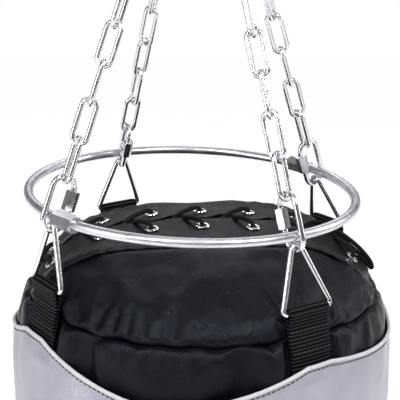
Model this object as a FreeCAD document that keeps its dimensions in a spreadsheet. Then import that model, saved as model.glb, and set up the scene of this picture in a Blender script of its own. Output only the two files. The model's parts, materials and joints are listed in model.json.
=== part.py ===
"""Heavy punch bag hung on a swivel, four chains and a loose spreader hoop.

The document is in millimetres, +Z up.  The origin is the centre of the hanging eye's hole.
+X runs along the laced slit in the bag's top and +Y across it.  The four corners, each a
chain, a quick link, a wire triangle and a webbing strap, stand at the angles in CORNERS.
"""
import FreeCAD, Part
import math
import os

import Sketcher
from FreeCAD import Placement, Rotation, Vector

X_AXIS = Vector(1, 0, 0)
Y_AXIS = Vector(0, 1, 0)
Z_AXIS = Vector(0, 0, 1)
FAR = 200  # reach of the boxes that trim sheets: more than the bag's radius
TAIL_SEAT = 0.95  # share of the webbing's thickness by which the sewn tail stands off the long ply

# Every driving dimension: alias, value in millimetres or degrees, meaning.
SIZES = [
    ("eye_bore_radius", 11, "hole of the hanging eye"),
    ("eye_outer_radius", 19, "rounded top of the hanging eye"),
    ("eye_thickness", 9, "plate the hanging eye is cut from"),
    ("eye_taper", 5, "how much the eye plate narrows to its foot on each side"),
    ("eye_bore_reach", 60, "length of the cutter for the eye's bore"),
    ("cap_top", -18, "height of the swivel cap's top face"),
    ("cap_thickness", 5, "swivel cap's flange"),
    ("cap_spigot", 3, "depth of the cap's spigot in the housing"),
    ("housing_radius", 16, "outside of the swivel housing"),
    ("housing_bore", 12.5, "inside of the swivel housing"),
    ("housing_bottom", -52, "lowest face of the swivel housing"),
    ("housing_floor", 6, "thickness of the housing's floor"),
    ("race_outer", 12.2, "outside of the two bearing races"),
    ("race_thickness", 3, "each bearing race"),
    ("ball_radius", 2, "thrust bearing ball"),
    ("ball_circle", 9, "radius of the circle of balls"),
    ("ball_count", 12, "balls in the thrust bearing"),
    ("ball_gap", 0.1, "running gap between balls and races"),
    ("spindle_radius", 5, "spindle of the lower eye"),
    ("spindle_gap", 0.08, "running gap of the spindle in the floor"),
    ("spindle_top", -28, "top of the spindle"),
    ("collar_step", 3, "how far the spindle's collar stands out"),
    ("collar_height", 3, "height of that collar"),
    ("spindle_nut_flats", 15, "across flats of the spindle nut"),
    ("spindle_nut_height", 6, "height of the spindle nut"),
    ("eye_ring_radius", 13, "centre line of the lower eye's ring"),
    ("eye_ring_wire", 4, "radius of the lower eye's wire"),
    ("eye_ring_height", -75, "centre of the lower eye's ring"),
    ("top_wire", 3.5, "radius of the top quick link's wire"),
    ("top_width", 21, "between the leg axes of the top quick link"),
    ("top_length", 53, "between the bow axes of the top quick link"),
    ("top_nut_flats", 13, "across flats of the top quick link's nut"),
    ("top_nut_length", 22, "length of the top quick link's nut"),
    ("top_nut_rise", 4.8, "closed nut's middle above the top quick link's middle"),
    ("top_gap_low", 6, "lower end of the top quick link's mouth above its middle"),
    ("top_gap_high", 14, "upper end of that mouth"),
    ("gather_radius", 24, "centre line of the gather ring"),
    ("gather_wire", 3, "radius of the gather ring's wire"),
    ("outer_attach", 24, "degrees along the ring to the two outer chains"),
    ("inner_attach", 9, "degrees along the ring to the two inner chains"),
    ("touch_gap", 0.3, "gap left where loose steel pieces bear on each other"),
    ("apex_gap", 0.55, "gap between a triangle's apex and its quick link, room for the triangle to rock"),
    ("chain_wire", 2, "radius of the chain's wire"),
    ("chain_width", 12, "between the leg axes of a chain link"),
    ("chain_length", 36, "between the bow axes of a chain link"),
    ("chain_links", 10, "links in each chain"),
    ("quick_wire", 2.25, "radius of a quick link's wire"),
    ("quick_width", 20, "between the leg axes of a quick link"),
    ("quick_length", 44.5, "between the bow axes of a quick link"),
    ("quick_nut_flats", 9.5, "across flats of a quick link's nut"),
    ("quick_nut_length", 16, "length of a quick link's nut"),
    ("quick_nut_rise", 3.95, "closed nut's middle above the quick link's middle"),
    ("quick_gap_low", 4.7, "lower end of the quick link's mouth above its middle"),
    ("quick_gap_high", 10.7, "upper end of that mouth"),
    ("nut_gap", 0.06, "running gap of a sleeve nut on its leg"),
    ("hoop_height", -491.5, "level of the hoop on the bag's axis"),
    ("hoop_radius", 139.5, "centre line of the hoop"),
    ("hoop_wire", 4, "radius of the hoop's rod"),
    ("hoop_shift", 7.4, "how far the loose hoop floats off the bag's axis"),
    ("hoop_shift_angle", 177, "direction of that shift, degrees"),
    ("hoop_tilt", 2.13, "tilt of the loose hoop, degrees, raised on the shifted side"),
    ("hoop_seat", 6.3, "hoop's axis above the triangle's apex, along the chain"),
    ("hoop_outset", 3, "hoop's axis outside the quick link's centre line"),
    ("coupler_flats", 13, "across flats of the hoop's long nuts"),
    ("coupler_length", 23, "length of the hoop's long nuts"),
    ("coupler_front_angle", -137, "front long nut's place about the hoop's centre"),
    ("coupler_rear_angle", 40.1, "rear long nut's place about the hoop's centre"),
    ("thread_radius", 3.7, "turned-down end of the hoop's rod"),
    ("thread_shown", 3.5, "thread left showing beside a long nut"),
    ("thread_hidden", 8.5, "thread inside each end of a long nut"),
    ("triangle_wire", 2.25, "radius of a triangle's wire"),
    ("triangle_height", 50, "from the apex to the base bar, wire centres"),
    ("triangle_width", 43, "outermost width between wire centres"),
    ("triangle_apex_bend", 5.25, "centre-line radius of the apex bend"),
    ("triangle_base_bend", 3, "centre-line radius of the two base bends"),
    ("base_bar_radius", 151.3, "distance of the base bars from the bag's axis"),
    ("strap_width", 37, "webbing width"),
    ("strap_thickness", 2, "webbing thickness"),
    ("strap_tail", 24, "length of the folded tail sewn to the outside"),
    ("strap_grip", 7, "from the loop down to where the strap's two plies meet"),
    ("strap_gap", 0.35, "gap between webbing and base bar"),
    ("strap_landing", 112, "depth where the strap meets the bag's side, below the hoop's level"),
    ("strap_end", 262, "depth of the strap's sewn end below the hoop's level"),
    ("side_radius", 161.5, "outside of the inner black cover"),
    ("outer_radius", 166.6, "outside of the silver panels and the main cover"),
    ("shoulder_radius", 95, "rounding of the bag's shoulder"),
    ("shoulder_drop", 126, "shoulder's lower end below the hoop's level"),
    ("crown_drop", 25, "crown's top below the hoop's level"),
    ("cover_thickness", 1.4, "each sheet of coated fabric"),
    ("layer_gap", 0.3, "gap between neighbouring soft layers"),
    ("seam_drop", 82, "seam between the top and the shoulder band, below the hoop's level"),
    ("border_drop", 112, "top edge of the silver panels, below the hoop's level"),
    ("silver_height", 235, "height of the silver panels"),
    ("under_border", 20, "how far the shoulder's sheet reaches down behind the silver panels"),
    ("base_rim", 11, "bevel round the bag's base"),
    ("cover_foot", 12, "main cover's lower edge above the base, and the filling's bevel there"),
    ("liner_foot", 13, "foam liner's lower edge above the base"),
    ("liner_drop", 22, "foam liner's upper edge below the silver border"),
    ("slot_radius", 158, "where the foam liner's slots for the straps start"),
    ("slot_depth", 12, "depth of those slots"),
    ("slot_height", 150, "height of those slots"),
    ("slot_room", 1, "room on each side of a strap in its slot"),
    ("bag_bottom_drop", 1022, "underside of the bag below the hoop's level"),
    ("piping_radius", 1.6, "radius of the piping cords"),
    ("slit_half", 4, "half the gap between the lacing flaps"),
    ("flap_half", 62, "half width of the two laced flaps together"),
    ("trough_depth", 9.4, "depth of the trough under the flaps that the lace runs in"),
    ("trough_half", 30, "half width of that trough"),
    ("trough_end", 146, "half length of that trough"),
    ("tongue_depth", 7.9, "depth of the inner tongue's face under the flaps"),
    ("tongue_thickness", 1.2, "inner tongue under the lacing"),
    ("eyelet_pitch", 43, "spacing of the eyelet pairs along the slit"),
    ("eyelet_row", 21, "distance of each eyelet row from the slit"),
    ("eyelet_pairs", 7, "pairs of eyelets"),
    ("eyelet_flange", 6.2, "outer radius of an eyelet's flange"),
    ("eyelet_hole", 3, "radius of an eyelet's hole"),
    ("eyelet_wall", 0.6, "sheet thickness of an eyelet"),
    ("lace_radius", 1.8, "radius of the lace"),
    ("lace_over", 3.1, "lace's axis above the flaps"),
    ("lace_under", 4.8, "lace's axis below the flaps"),
    ("lace_front_entry", 18, "where a strand from the front row enters the slit, from its eyelet"),
    ("lace_rear_entry", 25, "where a strand from the rear row enters the slit, from its eyelet"),
    ("lace_last_entry", 14, "how much sooner the strands of the last pair enter"),
    ("knot_width", 13, "width of the hidden knot in the lace"),
    ("knot_thickness", 5.4, "thickness of that knot"),
    ("lace_dive", 3.4, "half width of the strand's dive through the slit"),
    ("lace_bend", 3.3, "bend radius of the lace at an eyelet"),
    ("lace_dive_bend", 4, "bend radius of the lace at the slit"),
]

# The corners: name, angle about the bag's axis in degrees, side of the gather ring, attach angle's
# name, how far the quick link stands turned about its chain, in degrees, and how strongly the
# chain's twist gathers towards its top (1 is even).
CORNERS = [
    ("rear_right", 33.5, 1, "outer_attach", 0.0, 1.0),
    ("rear_left", 120.0, -1, "inner_attach", -17.0, 1.6),
    ("front_left", 213.5, -1, "outer_attach", 0.0, 1.0),
    ("front_right", 299.0, 1, "inner_attach", 3.0, 1.0),
]

doc = FreeCAD.newDocument("hanging_bag")


# ------------------------------------------------------------------------ sheet and helpers

def make_sheet():
    """Put every driving dimension in the spreadsheet, with its alias and meaning."""
    sheet = doc.addObject("Spreadsheet::Sheet", "Sizes")
    for row, (alias, value, meaning) in enumerate(SIZES, start=1):
        sheet.set("A%d" % row, meaning)
        sheet.set("B%d" % row, str(value))
        sheet.setAlias("B%d" % row, alias)
    doc.recompute()
    return sheet


SHEET = make_sheet()
NODES = []


def size(alias):
    """A driving dimension, read from the sheet."""
    return float(SHEET.get(alias))


def value_of(expression):
    """The number that an expression on the sheet's cells has now."""
    return float(SHEET.evalExpression(expression))


def bind(thing, **expressions):
    """Bind properties of a document object to expressions on the sheet's cells."""
    for name, expression in expressions.items():
        thing.setExpression(name, expression)
    return thing


def primitive(kind, name, **expressions):
    """A Part primitive whose sizes are bound to the sheet."""
    return bind(doc.addObject("Part::" + kind, name), **expressions)


def at(position, rotation=None):
    """A placement from a position and an optional rotation."""
    return Placement(position, rotation or Rotation())


def node(thing, label):
    """Name a finished sub-part and list it for writing."""
    thing.Label = label
    NODES.append(thing)
    return thing


def feature(label, shape, placement=None):
    """A sub-part whose shape is worked out in code from the sheet's sizes."""
    thing = doc.addObject("Part::Feature", "F_" + label)
    thing.Shape = shape
    if placement:
        thing.Placement = placement
    return node(thing, label)


def joined(name, parts):
    """One solid from overlapping or touching document objects."""
    fuse = doc.addObject("Part::MultiFuse", name)
    fuse.Shapes = parts
    fuse.Refine = True
    return fuse


def less(name, base, tool):
    """Base with the tool cut away."""
    cut = doc.addObject("Part::Cut", name)
    cut.Base = base
    cut.Tool = tool
    return cut


def turned(name, outline):
    """A turned piece about the Z axis: a sketch of (radius, height) expressions, revolved."""
    body = doc.addObject("PartDesign::Body", "Turned_" + name)
    sketch = body.newObject("Sketcher::SketchObject", "Outline_" + name)
    plane = [p for p in body.Origin.OriginFeatures if p.Role == "XZ_Plane"][0]
    sketch.AttachmentSupport = [(plane, "")]
    sketch.MapMode = "FlatFace"
    points = [(value_of(r), value_of(z)) for r, z in outline]
    count = len(points)
    for index, start in enumerate(points):
        end = points[(index + 1) % count]
        line = Part.LineSegment(Vector(start[0], start[1], 0), Vector(end[0], end[1], 0))
        sketch.addGeometry(line, False)
    for index in range(count):
        following = (index + 1) % count
        sketch.addConstraint(Sketcher.Constraint("Coincident", index, 2, following, 1))
    for index, (r, z) in enumerate(outline):
        pin_point(sketch, index, 1, "DistanceX", r, points[index][0])
        pin_point(sketch, index, 1, "DistanceY", z, points[index][1])
    revolution = body.newObject("PartDesign::Revolution", "Revolution_" + name)
    revolution.Profile = sketch
    revolution.ReferenceAxis = (sketch, ["V_Axis"])
    revolution.Angle = 360
    body.Tip = revolution
    return body


def pin_point(sketch, index, end, kind, expression, value):
    """Fix one coordinate of a sketch point and bind it to the sheet."""
    if abs(value) < 1e-9:
        on_axis = Sketcher.Constraint("PointOnObject", index, end, -2 if kind == "DistanceX" else -1)
        sketch.addConstraint(on_axis)
        return
    sketch.addConstraint(Sketcher.Constraint(kind, -1, 1, index, end, value))
    name = "%s_%d" % ("r" if kind == "DistanceX" else "z", index)
    sketch.renameConstraint(sketch.ConstraintCount - 1, name)
    sketch.setExpression("Constraints." + name, expression)


# --------------------------------------------------------------------------- wire and links

def rod(start, end, radius):
    """A straight piece of round wire between two points."""
    along = end - start
    return Part.makeCylinder(radius, along.Length, start, along)


def bent_wire(corners, radius, closed):
    """Round wire along a path given as (corner, bend radius): straight runs and tangent arcs."""
    path = rounded_path(corners, closed)
    first = path.Edges[0]
    start = first.valueAt(first.FirstParameter)
    ring = Part.Wire(Part.makeCircle(radius, start, first.tangentAt(first.FirstParameter)))
    if not closed:
        return path.makePipeShell([ring], True, False)
    half = len(path.Edges) // 2
    halves = []
    for edges in (path.Edges[:half], path.Edges[half:]):
        start = edges[0].valueAt(edges[0].FirstParameter)
        ring = Part.Wire(Part.makeCircle(radius, start, edges[0].tangentAt(edges[0].FirstParameter)))
        halves.append(Part.Wire(edges).makePipeShell([ring], True, False))
    return halves[0].fuse(halves[1])


def rounded_path(corners, closed):
    """A wire of lines and tangent arcs through a list of (corner, bend radius)."""
    count = len(corners)
    edges = []
    first_out = None
    previous_out = None
    for index, (corner, bend) in enumerate(corners):
        if not closed and index in (0, count - 1):
            into, out, arc = corner, corner, None
        else:
            before = (corners[index - 1][0] - corner).normalize()
            after = (corners[(index + 1) % count][0] - corner).normalize()
            half = before.getAngle(after) / 2
            reach = bend / math.tan(half)
            middle = (before + after).normalize() * (bend / math.sin(half))
            into = corner + before * reach
            out = corner + after * reach
            top = corner + middle - (before + after).normalize() * bend
            arc = Part.Arc(into, top, out).toShape()
        if previous_out is not None:
            edges.append(Part.LineSegment(previous_out, into).toShape())
        else:
            first_out = into
        if arc:
            edges.append(arc)
        previous_out = out
    if closed:
        edges.append(Part.LineSegment(previous_out, first_out).toShape())
    return Part.Wire(edges)


def oval_link(name, wire, width, length, gap=None):
    """A long oval link in the YZ plane, centred on the origin, optionally with a cut in its +Y leg.

    wire, width and length are expressions: wire radius, and distance between leg and bow axes.
    """
    reach = "(%s - %s) / 2" % (length, width)
    top = primitive("Torus", name + "_top", Radius1=width + " / 2", Radius2=wire, Angle3="180")
    top.Placement = at(Vector(0, 0, value_of(reach)), Rotation(Vector(0, 1, 0), Vector(0, 0, 1), X_AXIS))
    top.setExpression("Placement.Base.z", reach)
    bottom = primitive("Torus", name + "_bottom", Radius1=width + " / 2", Radius2=wire, Angle3="180")
    downward = Rotation(Vector(0, 1, 0), Vector(0, 0, -1), -X_AXIS)
    bottom.Placement = at(Vector(0, 0, -value_of(reach)), downward)
    bottom.setExpression("Placement.Base.z", "-" + reach)
    legs = []
    for side, sign in (("left", "-"), ("right", "")):
        leg = primitive("Cylinder", name + "_" + side, Radius=wire, Height="2 * " + reach)
        leg.setExpression("Placement.Base.y", "%s%s / 2" % (sign, width))
        leg.setExpression("Placement.Base.z", "-" + reach)
        legs.append(leg)
    link = joined(name, [top, bottom] + legs)
    if gap is None:
        return link
    low, high = gap
    slot = primitive("Cylinder", name + "_gap", Radius="2 * " + wire, Height="%s - (%s)" % (high, low))
    slot.setExpression("Placement.Base.y", width + " / 2")
    slot.setExpression("Placement.Base.z", low)
    return less(name + "_open", link, slot)


def hex_nut(name, flats, length, bore):
    """A hexagonal nut along Z, centred on the origin, bored through and bevelled at both ends."""
    block = primitive("Prism", name + "_hex", Circumradius=flats + " / 2 / cos(30)", Height=length)
    block.setExpression("Placement.Base.z", "-%s / 2" % length)
    trim = doc.addObject("Part::MultiCommon", name + "_bevelled")
    cones = []
    for side, turn in (("up", Rotation()), ("down", Rotation(X_AXIS, 180))):
        cone = primitive("Cone", name + "_" + side, Radius1=flats + " / 2 + 1.7 * " + length,
                         Radius2=flats + " / 2", Height=length)
        cone.Placement = at(Vector(), turn)
        cone.setExpression("Placement.Base.z", "%s%s / 2" % ("-" if side == "up" else "", length))
        cones.append(cone)
    trim.Shapes = [block] + cones
    hole = primitive("Cylinder", name + "_bore", Radius=bore, Height="2 * " + length)
    hole.setExpression("Placement.Base.z", "-" + length)
    return less(name, trim, hole)


# ------------------------------------------------------------------------ swivel and top link

def top_link_bow():
    """Height of the top quick link's upper bow, resting in the lower eye."""
    return (size("eye_ring_height") - size("eye_ring_radius") + size("eye_ring_wire")
            + size("top_wire") + size("touch_gap"))


def gather_centre():
    """Centre of the gather ring, hung in the top quick link's lower bow."""
    bow = top_link_bow() - size("top_length")
    hang = size("top_wire") + size("gather_wire") + size("touch_gap")
    return Vector(0, 0, bow + hang - size("gather_radius"))


def make_hanging_eye():
    """The plate with the hanging hole, welded to the swivel's cap."""
    body = doc.addObject("PartDesign::Body", "Eye_body")
    sketch = body.newObject("Sketcher::SketchObject", "Eye_outline")
    sketch.AttachmentSupport = [([p for p in body.Origin.OriginFeatures if p.Role == "XZ_Plane"][0], "")]
    sketch.MapMode = "FlatFace"
    radius = size("eye_outer_radius")
    foot = size("cap_top")
    half_foot = radius - size("eye_taper")
    arc = Part.ArcOfCircle(Part.Circle(Vector(), Z_AXIS, radius), 0, math.pi)
    sketch.addGeometry(arc, False)
    outline = [Vector(-radius, 0, 0), Vector(-half_foot, foot, 0),
               Vector(half_foot, foot, 0), Vector(radius, 0, 0)]
    for start, end in zip(outline, outline[1:]):
        sketch.addGeometry(Part.LineSegment(start, end), False)
    for one, end, other, start in ((0, 2, 1, 1), (1, 2, 2, 1), (2, 2, 3, 1), (3, 2, 0, 1)):
        sketch.addConstraint(Sketcher.Constraint("Coincident", one, end, other, start))
    sketch.addConstraint(Sketcher.Constraint("Coincident", 0, 3, -1, 1))
    sketch.addConstraint(Sketcher.Constraint("PointOnObject", 0, 1, -1))
    sketch.addConstraint(Sketcher.Constraint("PointOnObject", 0, 2, -1))
    pin_point(sketch, 1, 2, "DistanceX", "Sizes.eye_taper - Sizes.eye_outer_radius", -half_foot)
    pin_point(sketch, 2, 1, "DistanceY", "Sizes.cap_top", foot)
    pin_point(sketch, 3, 1, "DistanceX", "Sizes.eye_outer_radius - Sizes.eye_taper", half_foot)
    pin_point(sketch, 3, 1, "DistanceY", "Sizes.cap_top", foot)
    sketch.addConstraint(Sketcher.Constraint("Radius", 0, radius))
    sketch.renameConstraint(sketch.ConstraintCount - 1, "top_radius")
    sketch.setExpression("Constraints.top_radius", "Sizes.eye_outer_radius")
    pad = body.newObject("PartDesign::Pad", "Eye_plate")
    pad.Profile = sketch
    pad.Midplane = True
    pad.setExpression("Length", "Sizes.eye_thickness")
    body.Tip = pad
    hole = primitive("Cylinder", "Eye_bore", Radius="Sizes.eye_bore_radius", Height="Sizes.eye_bore_reach")
    hole.Placement = at(Vector(0, size("eye_bore_reach") / 2, 0), Rotation(X_AXIS, 90))
    node(less("Eye", body, hole), "hanger_eye")


def make_swivel():
    """Housing, cap, thrust bearing and the spindle with its ring, on the Z axis."""
    node(turned("housing", [
        ("Sizes.spindle_radius + Sizes.spindle_gap", "Sizes.housing_bottom"),
        ("Sizes.housing_radius - 2", "Sizes.housing_bottom"),
        ("Sizes.housing_radius", "Sizes.housing_bottom + 2"),
        ("Sizes.housing_radius", "Sizes.cap_top - Sizes.cap_thickness"),
        ("Sizes.housing_bore", "Sizes.cap_top - Sizes.cap_thickness"),
        ("Sizes.housing_bore", "Sizes.housing_bottom + Sizes.housing_floor"),
        ("Sizes.spindle_radius + Sizes.spindle_gap", "Sizes.housing_bottom + Sizes.housing_floor"),
    ]), "swivel_housing")
    node(turned("cap", [
        ("0", "Sizes.cap_top"),
        ("0", "Sizes.cap_top - Sizes.cap_thickness - Sizes.cap_spigot"),
        ("Sizes.race_outer", "Sizes.cap_top - Sizes.cap_thickness - Sizes.cap_spigot"),
        ("Sizes.race_outer", "Sizes.cap_top - Sizes.cap_thickness"),
        ("Sizes.housing_radius + 1", "Sizes.cap_top - Sizes.cap_thickness"),
        ("Sizes.housing_radius + 1", "Sizes.cap_top - 1.5"),
        ("Sizes.housing_radius - 0.5", "Sizes.cap_top"),
    ]), "swivel_cap")
    floor = "Sizes.housing_bottom + Sizes.housing_floor"
    lower = floor + " + Sizes.race_thickness"
    upper = lower + " + 2 * Sizes.ball_radius + 2 * Sizes.ball_gap"
    for label, bottom in (("bearing_race_lower", floor), ("bearing_race_upper", upper)):
        node(turned(label, [
            ("Sizes.spindle_radius + 0.6", bottom),
            ("Sizes.race_outer", bottom),
            ("Sizes.race_outer", bottom + " + Sizes.race_thickness"),
            ("Sizes.spindle_radius + 0.6", bottom + " + Sizes.race_thickness"),
        ]), label)
    ball = primitive("Sphere", "Ball", Radius="Sizes.ball_radius")
    doc.recompute()
    count = int(size("ball_count"))
    height = value_of(lower + " + Sizes.ball_radius + Sizes.ball_gap")
    balls = []
    for index in range(count):
        turn = Rotation(Z_AXIS, 360.0 * index / count)
        balls.append(ball.Shape.copy())
        balls[-1].Placement = at(turn.multVec(Vector(size("ball_circle"), 0, 0)) + Vector(0, 0, height))
    feature("bearing_balls", Part.makeCompound(balls))
    nut = hex_nut("Spindle_nut", "Sizes.spindle_nut_flats", "Sizes.spindle_nut_height",
                  "Sizes.spindle_radius + Sizes.nut_gap")
    nut.setExpression("Placement.Base.z", upper + " + Sizes.race_thickness + Sizes.spindle_nut_height / 2")
    node(nut, "spindle_nut")
    ring = primitive("Torus", "Lower_ring", Radius1="Sizes.eye_ring_radius", Radius2="Sizes.eye_ring_wire")
    ring.Placement = at(Vector(0, 0, size("eye_ring_height")), Rotation(X_AXIS, 90))
    ring.setExpression("Placement.Base.z", "Sizes.eye_ring_height")
    ring_top = "Sizes.eye_ring_height + Sizes.eye_ring_radius"
    spindle = primitive("Cylinder", "Spindle", Radius="Sizes.spindle_radius",
                        Height="Sizes.spindle_top - (%s)" % ring_top)
    spindle.setExpression("Placement.Base.z", ring_top)
    collar = primitive("Cylinder", "Spindle_collar", Radius="Sizes.spindle_radius + Sizes.collar_step",
                       Height="Sizes.collar_height")
    collar.setExpression("Placement.Base.z", "Sizes.housing_bottom - Sizes.collar_height - Sizes.touch_gap")
    node(joined("Lower_eye", [ring, spindle, collar]), "lower_eye")


def make_top_link():
    """The large quick link between the swivel and the gather ring, with its sleeve nut."""
    link = oval_link("Top_link", "Sizes.top_wire", "Sizes.top_width", "Sizes.top_length",
                     ("Sizes.top_gap_low", "Sizes.top_gap_high"))
    nut = hex_nut("Top_nut", "Sizes.top_nut_flats", "Sizes.top_nut_length",
                  "Sizes.top_wire + Sizes.nut_gap")
    doc.recompute()
    middle = Vector(0, 0, top_link_bow() - size("top_length") / 2)
    nut_place = middle + Vector(0, size("top_width") / 2, size("top_nut_rise"))
    feature("top_quick_link", link.Shape.copy(), at(middle))
    feature("top_quick_link_nut", nut.Shape.copy(), at(nut_place))
    ring = primitive("Torus", "Gather", Radius1="Sizes.gather_radius", Radius2="Sizes.gather_wire")
    ring.Placement = at(gather_centre(), Rotation(X_AXIS, 90))
    node(ring, "gather_ring")


# ------------------------------------------------------------------- the loose hoop's position

def hoop_frame():
    """The hoop's centre and axis: it floats to one side and tilts up on that side."""
    turn = math.radians(size("hoop_shift_angle"))
    sideways = Vector(math.cos(turn), math.sin(turn), 0)
    slope = math.tan(math.radians(size("hoop_tilt")))
    centre = sideways * size("hoop_shift") + Vector(0, 0, size("hoop_height") + slope * size("hoop_shift"))
    axis = (Z_AXIS - sideways * slope).normalize()
    return centre, axis


def hoop_crossing(angle):
    """Where the hoop's centre line crosses the upright plane at an angle about the bag's axis."""
    centre, axis = hoop_frame()
    outward = Vector(math.cos(math.radians(angle)), math.sin(math.radians(angle)), 0)
    along = outward - Z_AXIS * (outward.dot(axis) / axis.z)
    start = Vector(0, 0, size("hoop_height"))
    offset = centre - start
    a = along.dot(along)
    b = along.dot(offset)
    c = offset.dot(offset) - size("hoop_radius") ** 2
    return start + along * ((b + math.sqrt(b * b - a * c)) / a)


class Corner:
    """Where one chain, quick link, hoop crossing, triangle and strap lie."""

    def __init__(self, name, angle, side, attach, twist, gathering):
        self.name = name
        self.gathering = gathering
        swing = math.radians(side * size(attach))
        ring = gather_centre()
        self.top = ring + Vector(math.sin(swing), 0, -math.cos(swing)) * size("gather_radius")
        crossing = hoop_crossing(angle)
        reach = crossing - self.top
        level = Vector(reach.x, reach.y, 0).normalize()
        lean = math.atan2(Vector(reach.x, reach.y, 0).Length, -reach.z)
        lean -= math.asin(size("hoop_outset") / reach.Length)
        self.down = level * math.sin(lean) - Z_AXIS * math.cos(lean)
        self.out = level * math.cos(lean) + Z_AXIS * math.sin(lean)
        self.length = (crossing - self.out * size("hoop_outset") - self.top).Length
        ring_tangent = Vector(math.cos(swing), 0, math.sin(swing))
        self.first_normal = (ring_tangent - self.down * ring_tangent.dot(self.down)).normalize()
        square = self.out.cross(self.down)
        self.quick_normal = Rotation(self.down, -twist).multVec(square)
        self.place_stack()
        self.place_base_bar()

    def place_stack(self):
        """Distances down the chain, with the wear gaps that make its length fit."""
        links = int(size("chain_links"))
        pitch = size("chain_length") - 2 * size("chain_wire")
        first = size("chain_length") / 2 - size("gather_wire") - size("chain_wire")
        quick = size("chain_length") / 2 - size("chain_wire") - size("quick_wire") + size("quick_length") / 2
        apex = size("quick_length") / 2 - size("quick_wire") - size("triangle_wire") - size("apex_gap")
        slack = first + (links - 1) * pitch + quick + apex - size("hoop_seat") - self.length
        self.gap = slack / (links + 1)
        self.links = [first - self.gap + k * (pitch - self.gap) for k in range(links)]
        self.quick = self.links[-1] + quick - self.gap
        self.apex = self.top + self.down * (self.quick + apex)

    def place_base_bar(self):
        """The triangle's base bar, held by its strap at a set distance from the bag's axis."""
        radius = math.hypot(self.apex.x, self.apex.y)
        self.radial = Vector(self.apex.x, self.apex.y, 0).normalize()
        self.tangent = Z_AXIS.cross(self.radial)
        run = size("base_bar_radius") - radius
        drop = math.sqrt(size("triangle_height") ** 2 - run ** 2)
        self.bar = self.radial * size("base_bar_radius") + Z_AXIS * (self.apex.z - drop)

    def link_turn(self, steps):
        """Rotation of the link that many steps down: quarter turns plus the chain's slow twist.

        The first link lies square on the gather ring, and from there to the quick link the chains
        turn the longer way round.
        """
        total = math.degrees(self.signed_angle(self.first_normal, self.quick_normal))
        total -= 180 * round(total / 180)
        total -= math.copysign(180, total)
        share = 1 - (1 - (steps - 1) / int(size("chain_links"))) ** self.gathering
        turn = Rotation(self.down, total * share + 90 * (steps - 1))
        return self.frame(turn.multVec(self.first_normal))

    def signed_angle(self, start, end):
        """Angle from one normal to another about the chain's direction."""
        return math.atan2(start.cross(end).dot(self.down), start.dot(end))

    def frame(self, normal):
        """Rotation that lays an upright link along the chain with its face along a normal."""
        up = self.down * -1
        return Rotation(normal, up.cross(normal), up, "ZXY")


# --------------------------------------------------------------- chains, quick links, triangles

def make_corner_hardware(corners):
    """Chains, quick links, sleeve nuts and wire triangles at the four corners."""
    link = oval_link("Chain_link", "Sizes.chain_wire", "Sizes.chain_width", "Sizes.chain_length")
    quick = oval_link("Quick_link", "Sizes.quick_wire", "Sizes.quick_width", "Sizes.quick_length",
                      ("Sizes.quick_gap_low", "Sizes.quick_gap_high"))
    nut = hex_nut("Quick_nut", "Sizes.quick_nut_flats", "Sizes.quick_nut_length",
                  "Sizes.quick_wire + Sizes.nut_gap")
    doc.recompute()
    triangle = triangle_wire()
    for corner in corners:
        links = []
        for index, distance in enumerate(corner.links):
            piece = link.Shape.copy()
            piece.Placement = at(corner.top + corner.down * distance, corner.link_turn(index + 1))
            links.append(piece)
        feature("chain_" + corner.name, Part.makeCompound(links))
        middle = corner.top + corner.down * corner.quick
        turn = corner.frame(corner.quick_normal)
        leg = turn.multVec(Vector(0, size("quick_width") / 2, size("quick_nut_rise")))
        feature("quick_link_" + corner.name, quick.Shape.copy(), at(middle, turn))
        feature("quick_link_nut_" + corner.name, nut.Shape.copy(), at(middle + leg, turn))
        up = (corner.apex - corner.bar).normalize()
        lie = Rotation(corner.tangent, up.cross(corner.tangent), up, "ZXY")
        feature("triangle_" + corner.name, triangle.copy(), at(corner.bar, lie))


def triangle_wire():
    """The wire triangle in the XZ plane, with the middle of its base bar at the origin."""
    apex_bend = size("triangle_apex_bend")
    base_bend = size("triangle_base_bend")
    half = math.radians(22)
    for attempt in range(30):
        tip = size("triangle_height") + apex_bend * (1 / math.sin(half) - 1)
        foot = size("triangle_width") / 2 - base_bend + base_bend / math.tan(math.pi / 4 - half / 2)
        half = math.atan2(foot, tip)
    corners = [
        (Vector(-foot, 0, 0), base_bend),
        (Vector(foot, 0, 0), base_bend),
        (Vector(0, 0, tip), apex_bend),
    ]
    return bent_wire(corners, size("triangle_wire"), True)


# ------------------------------------------------------------------------------------- hoop

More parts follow.
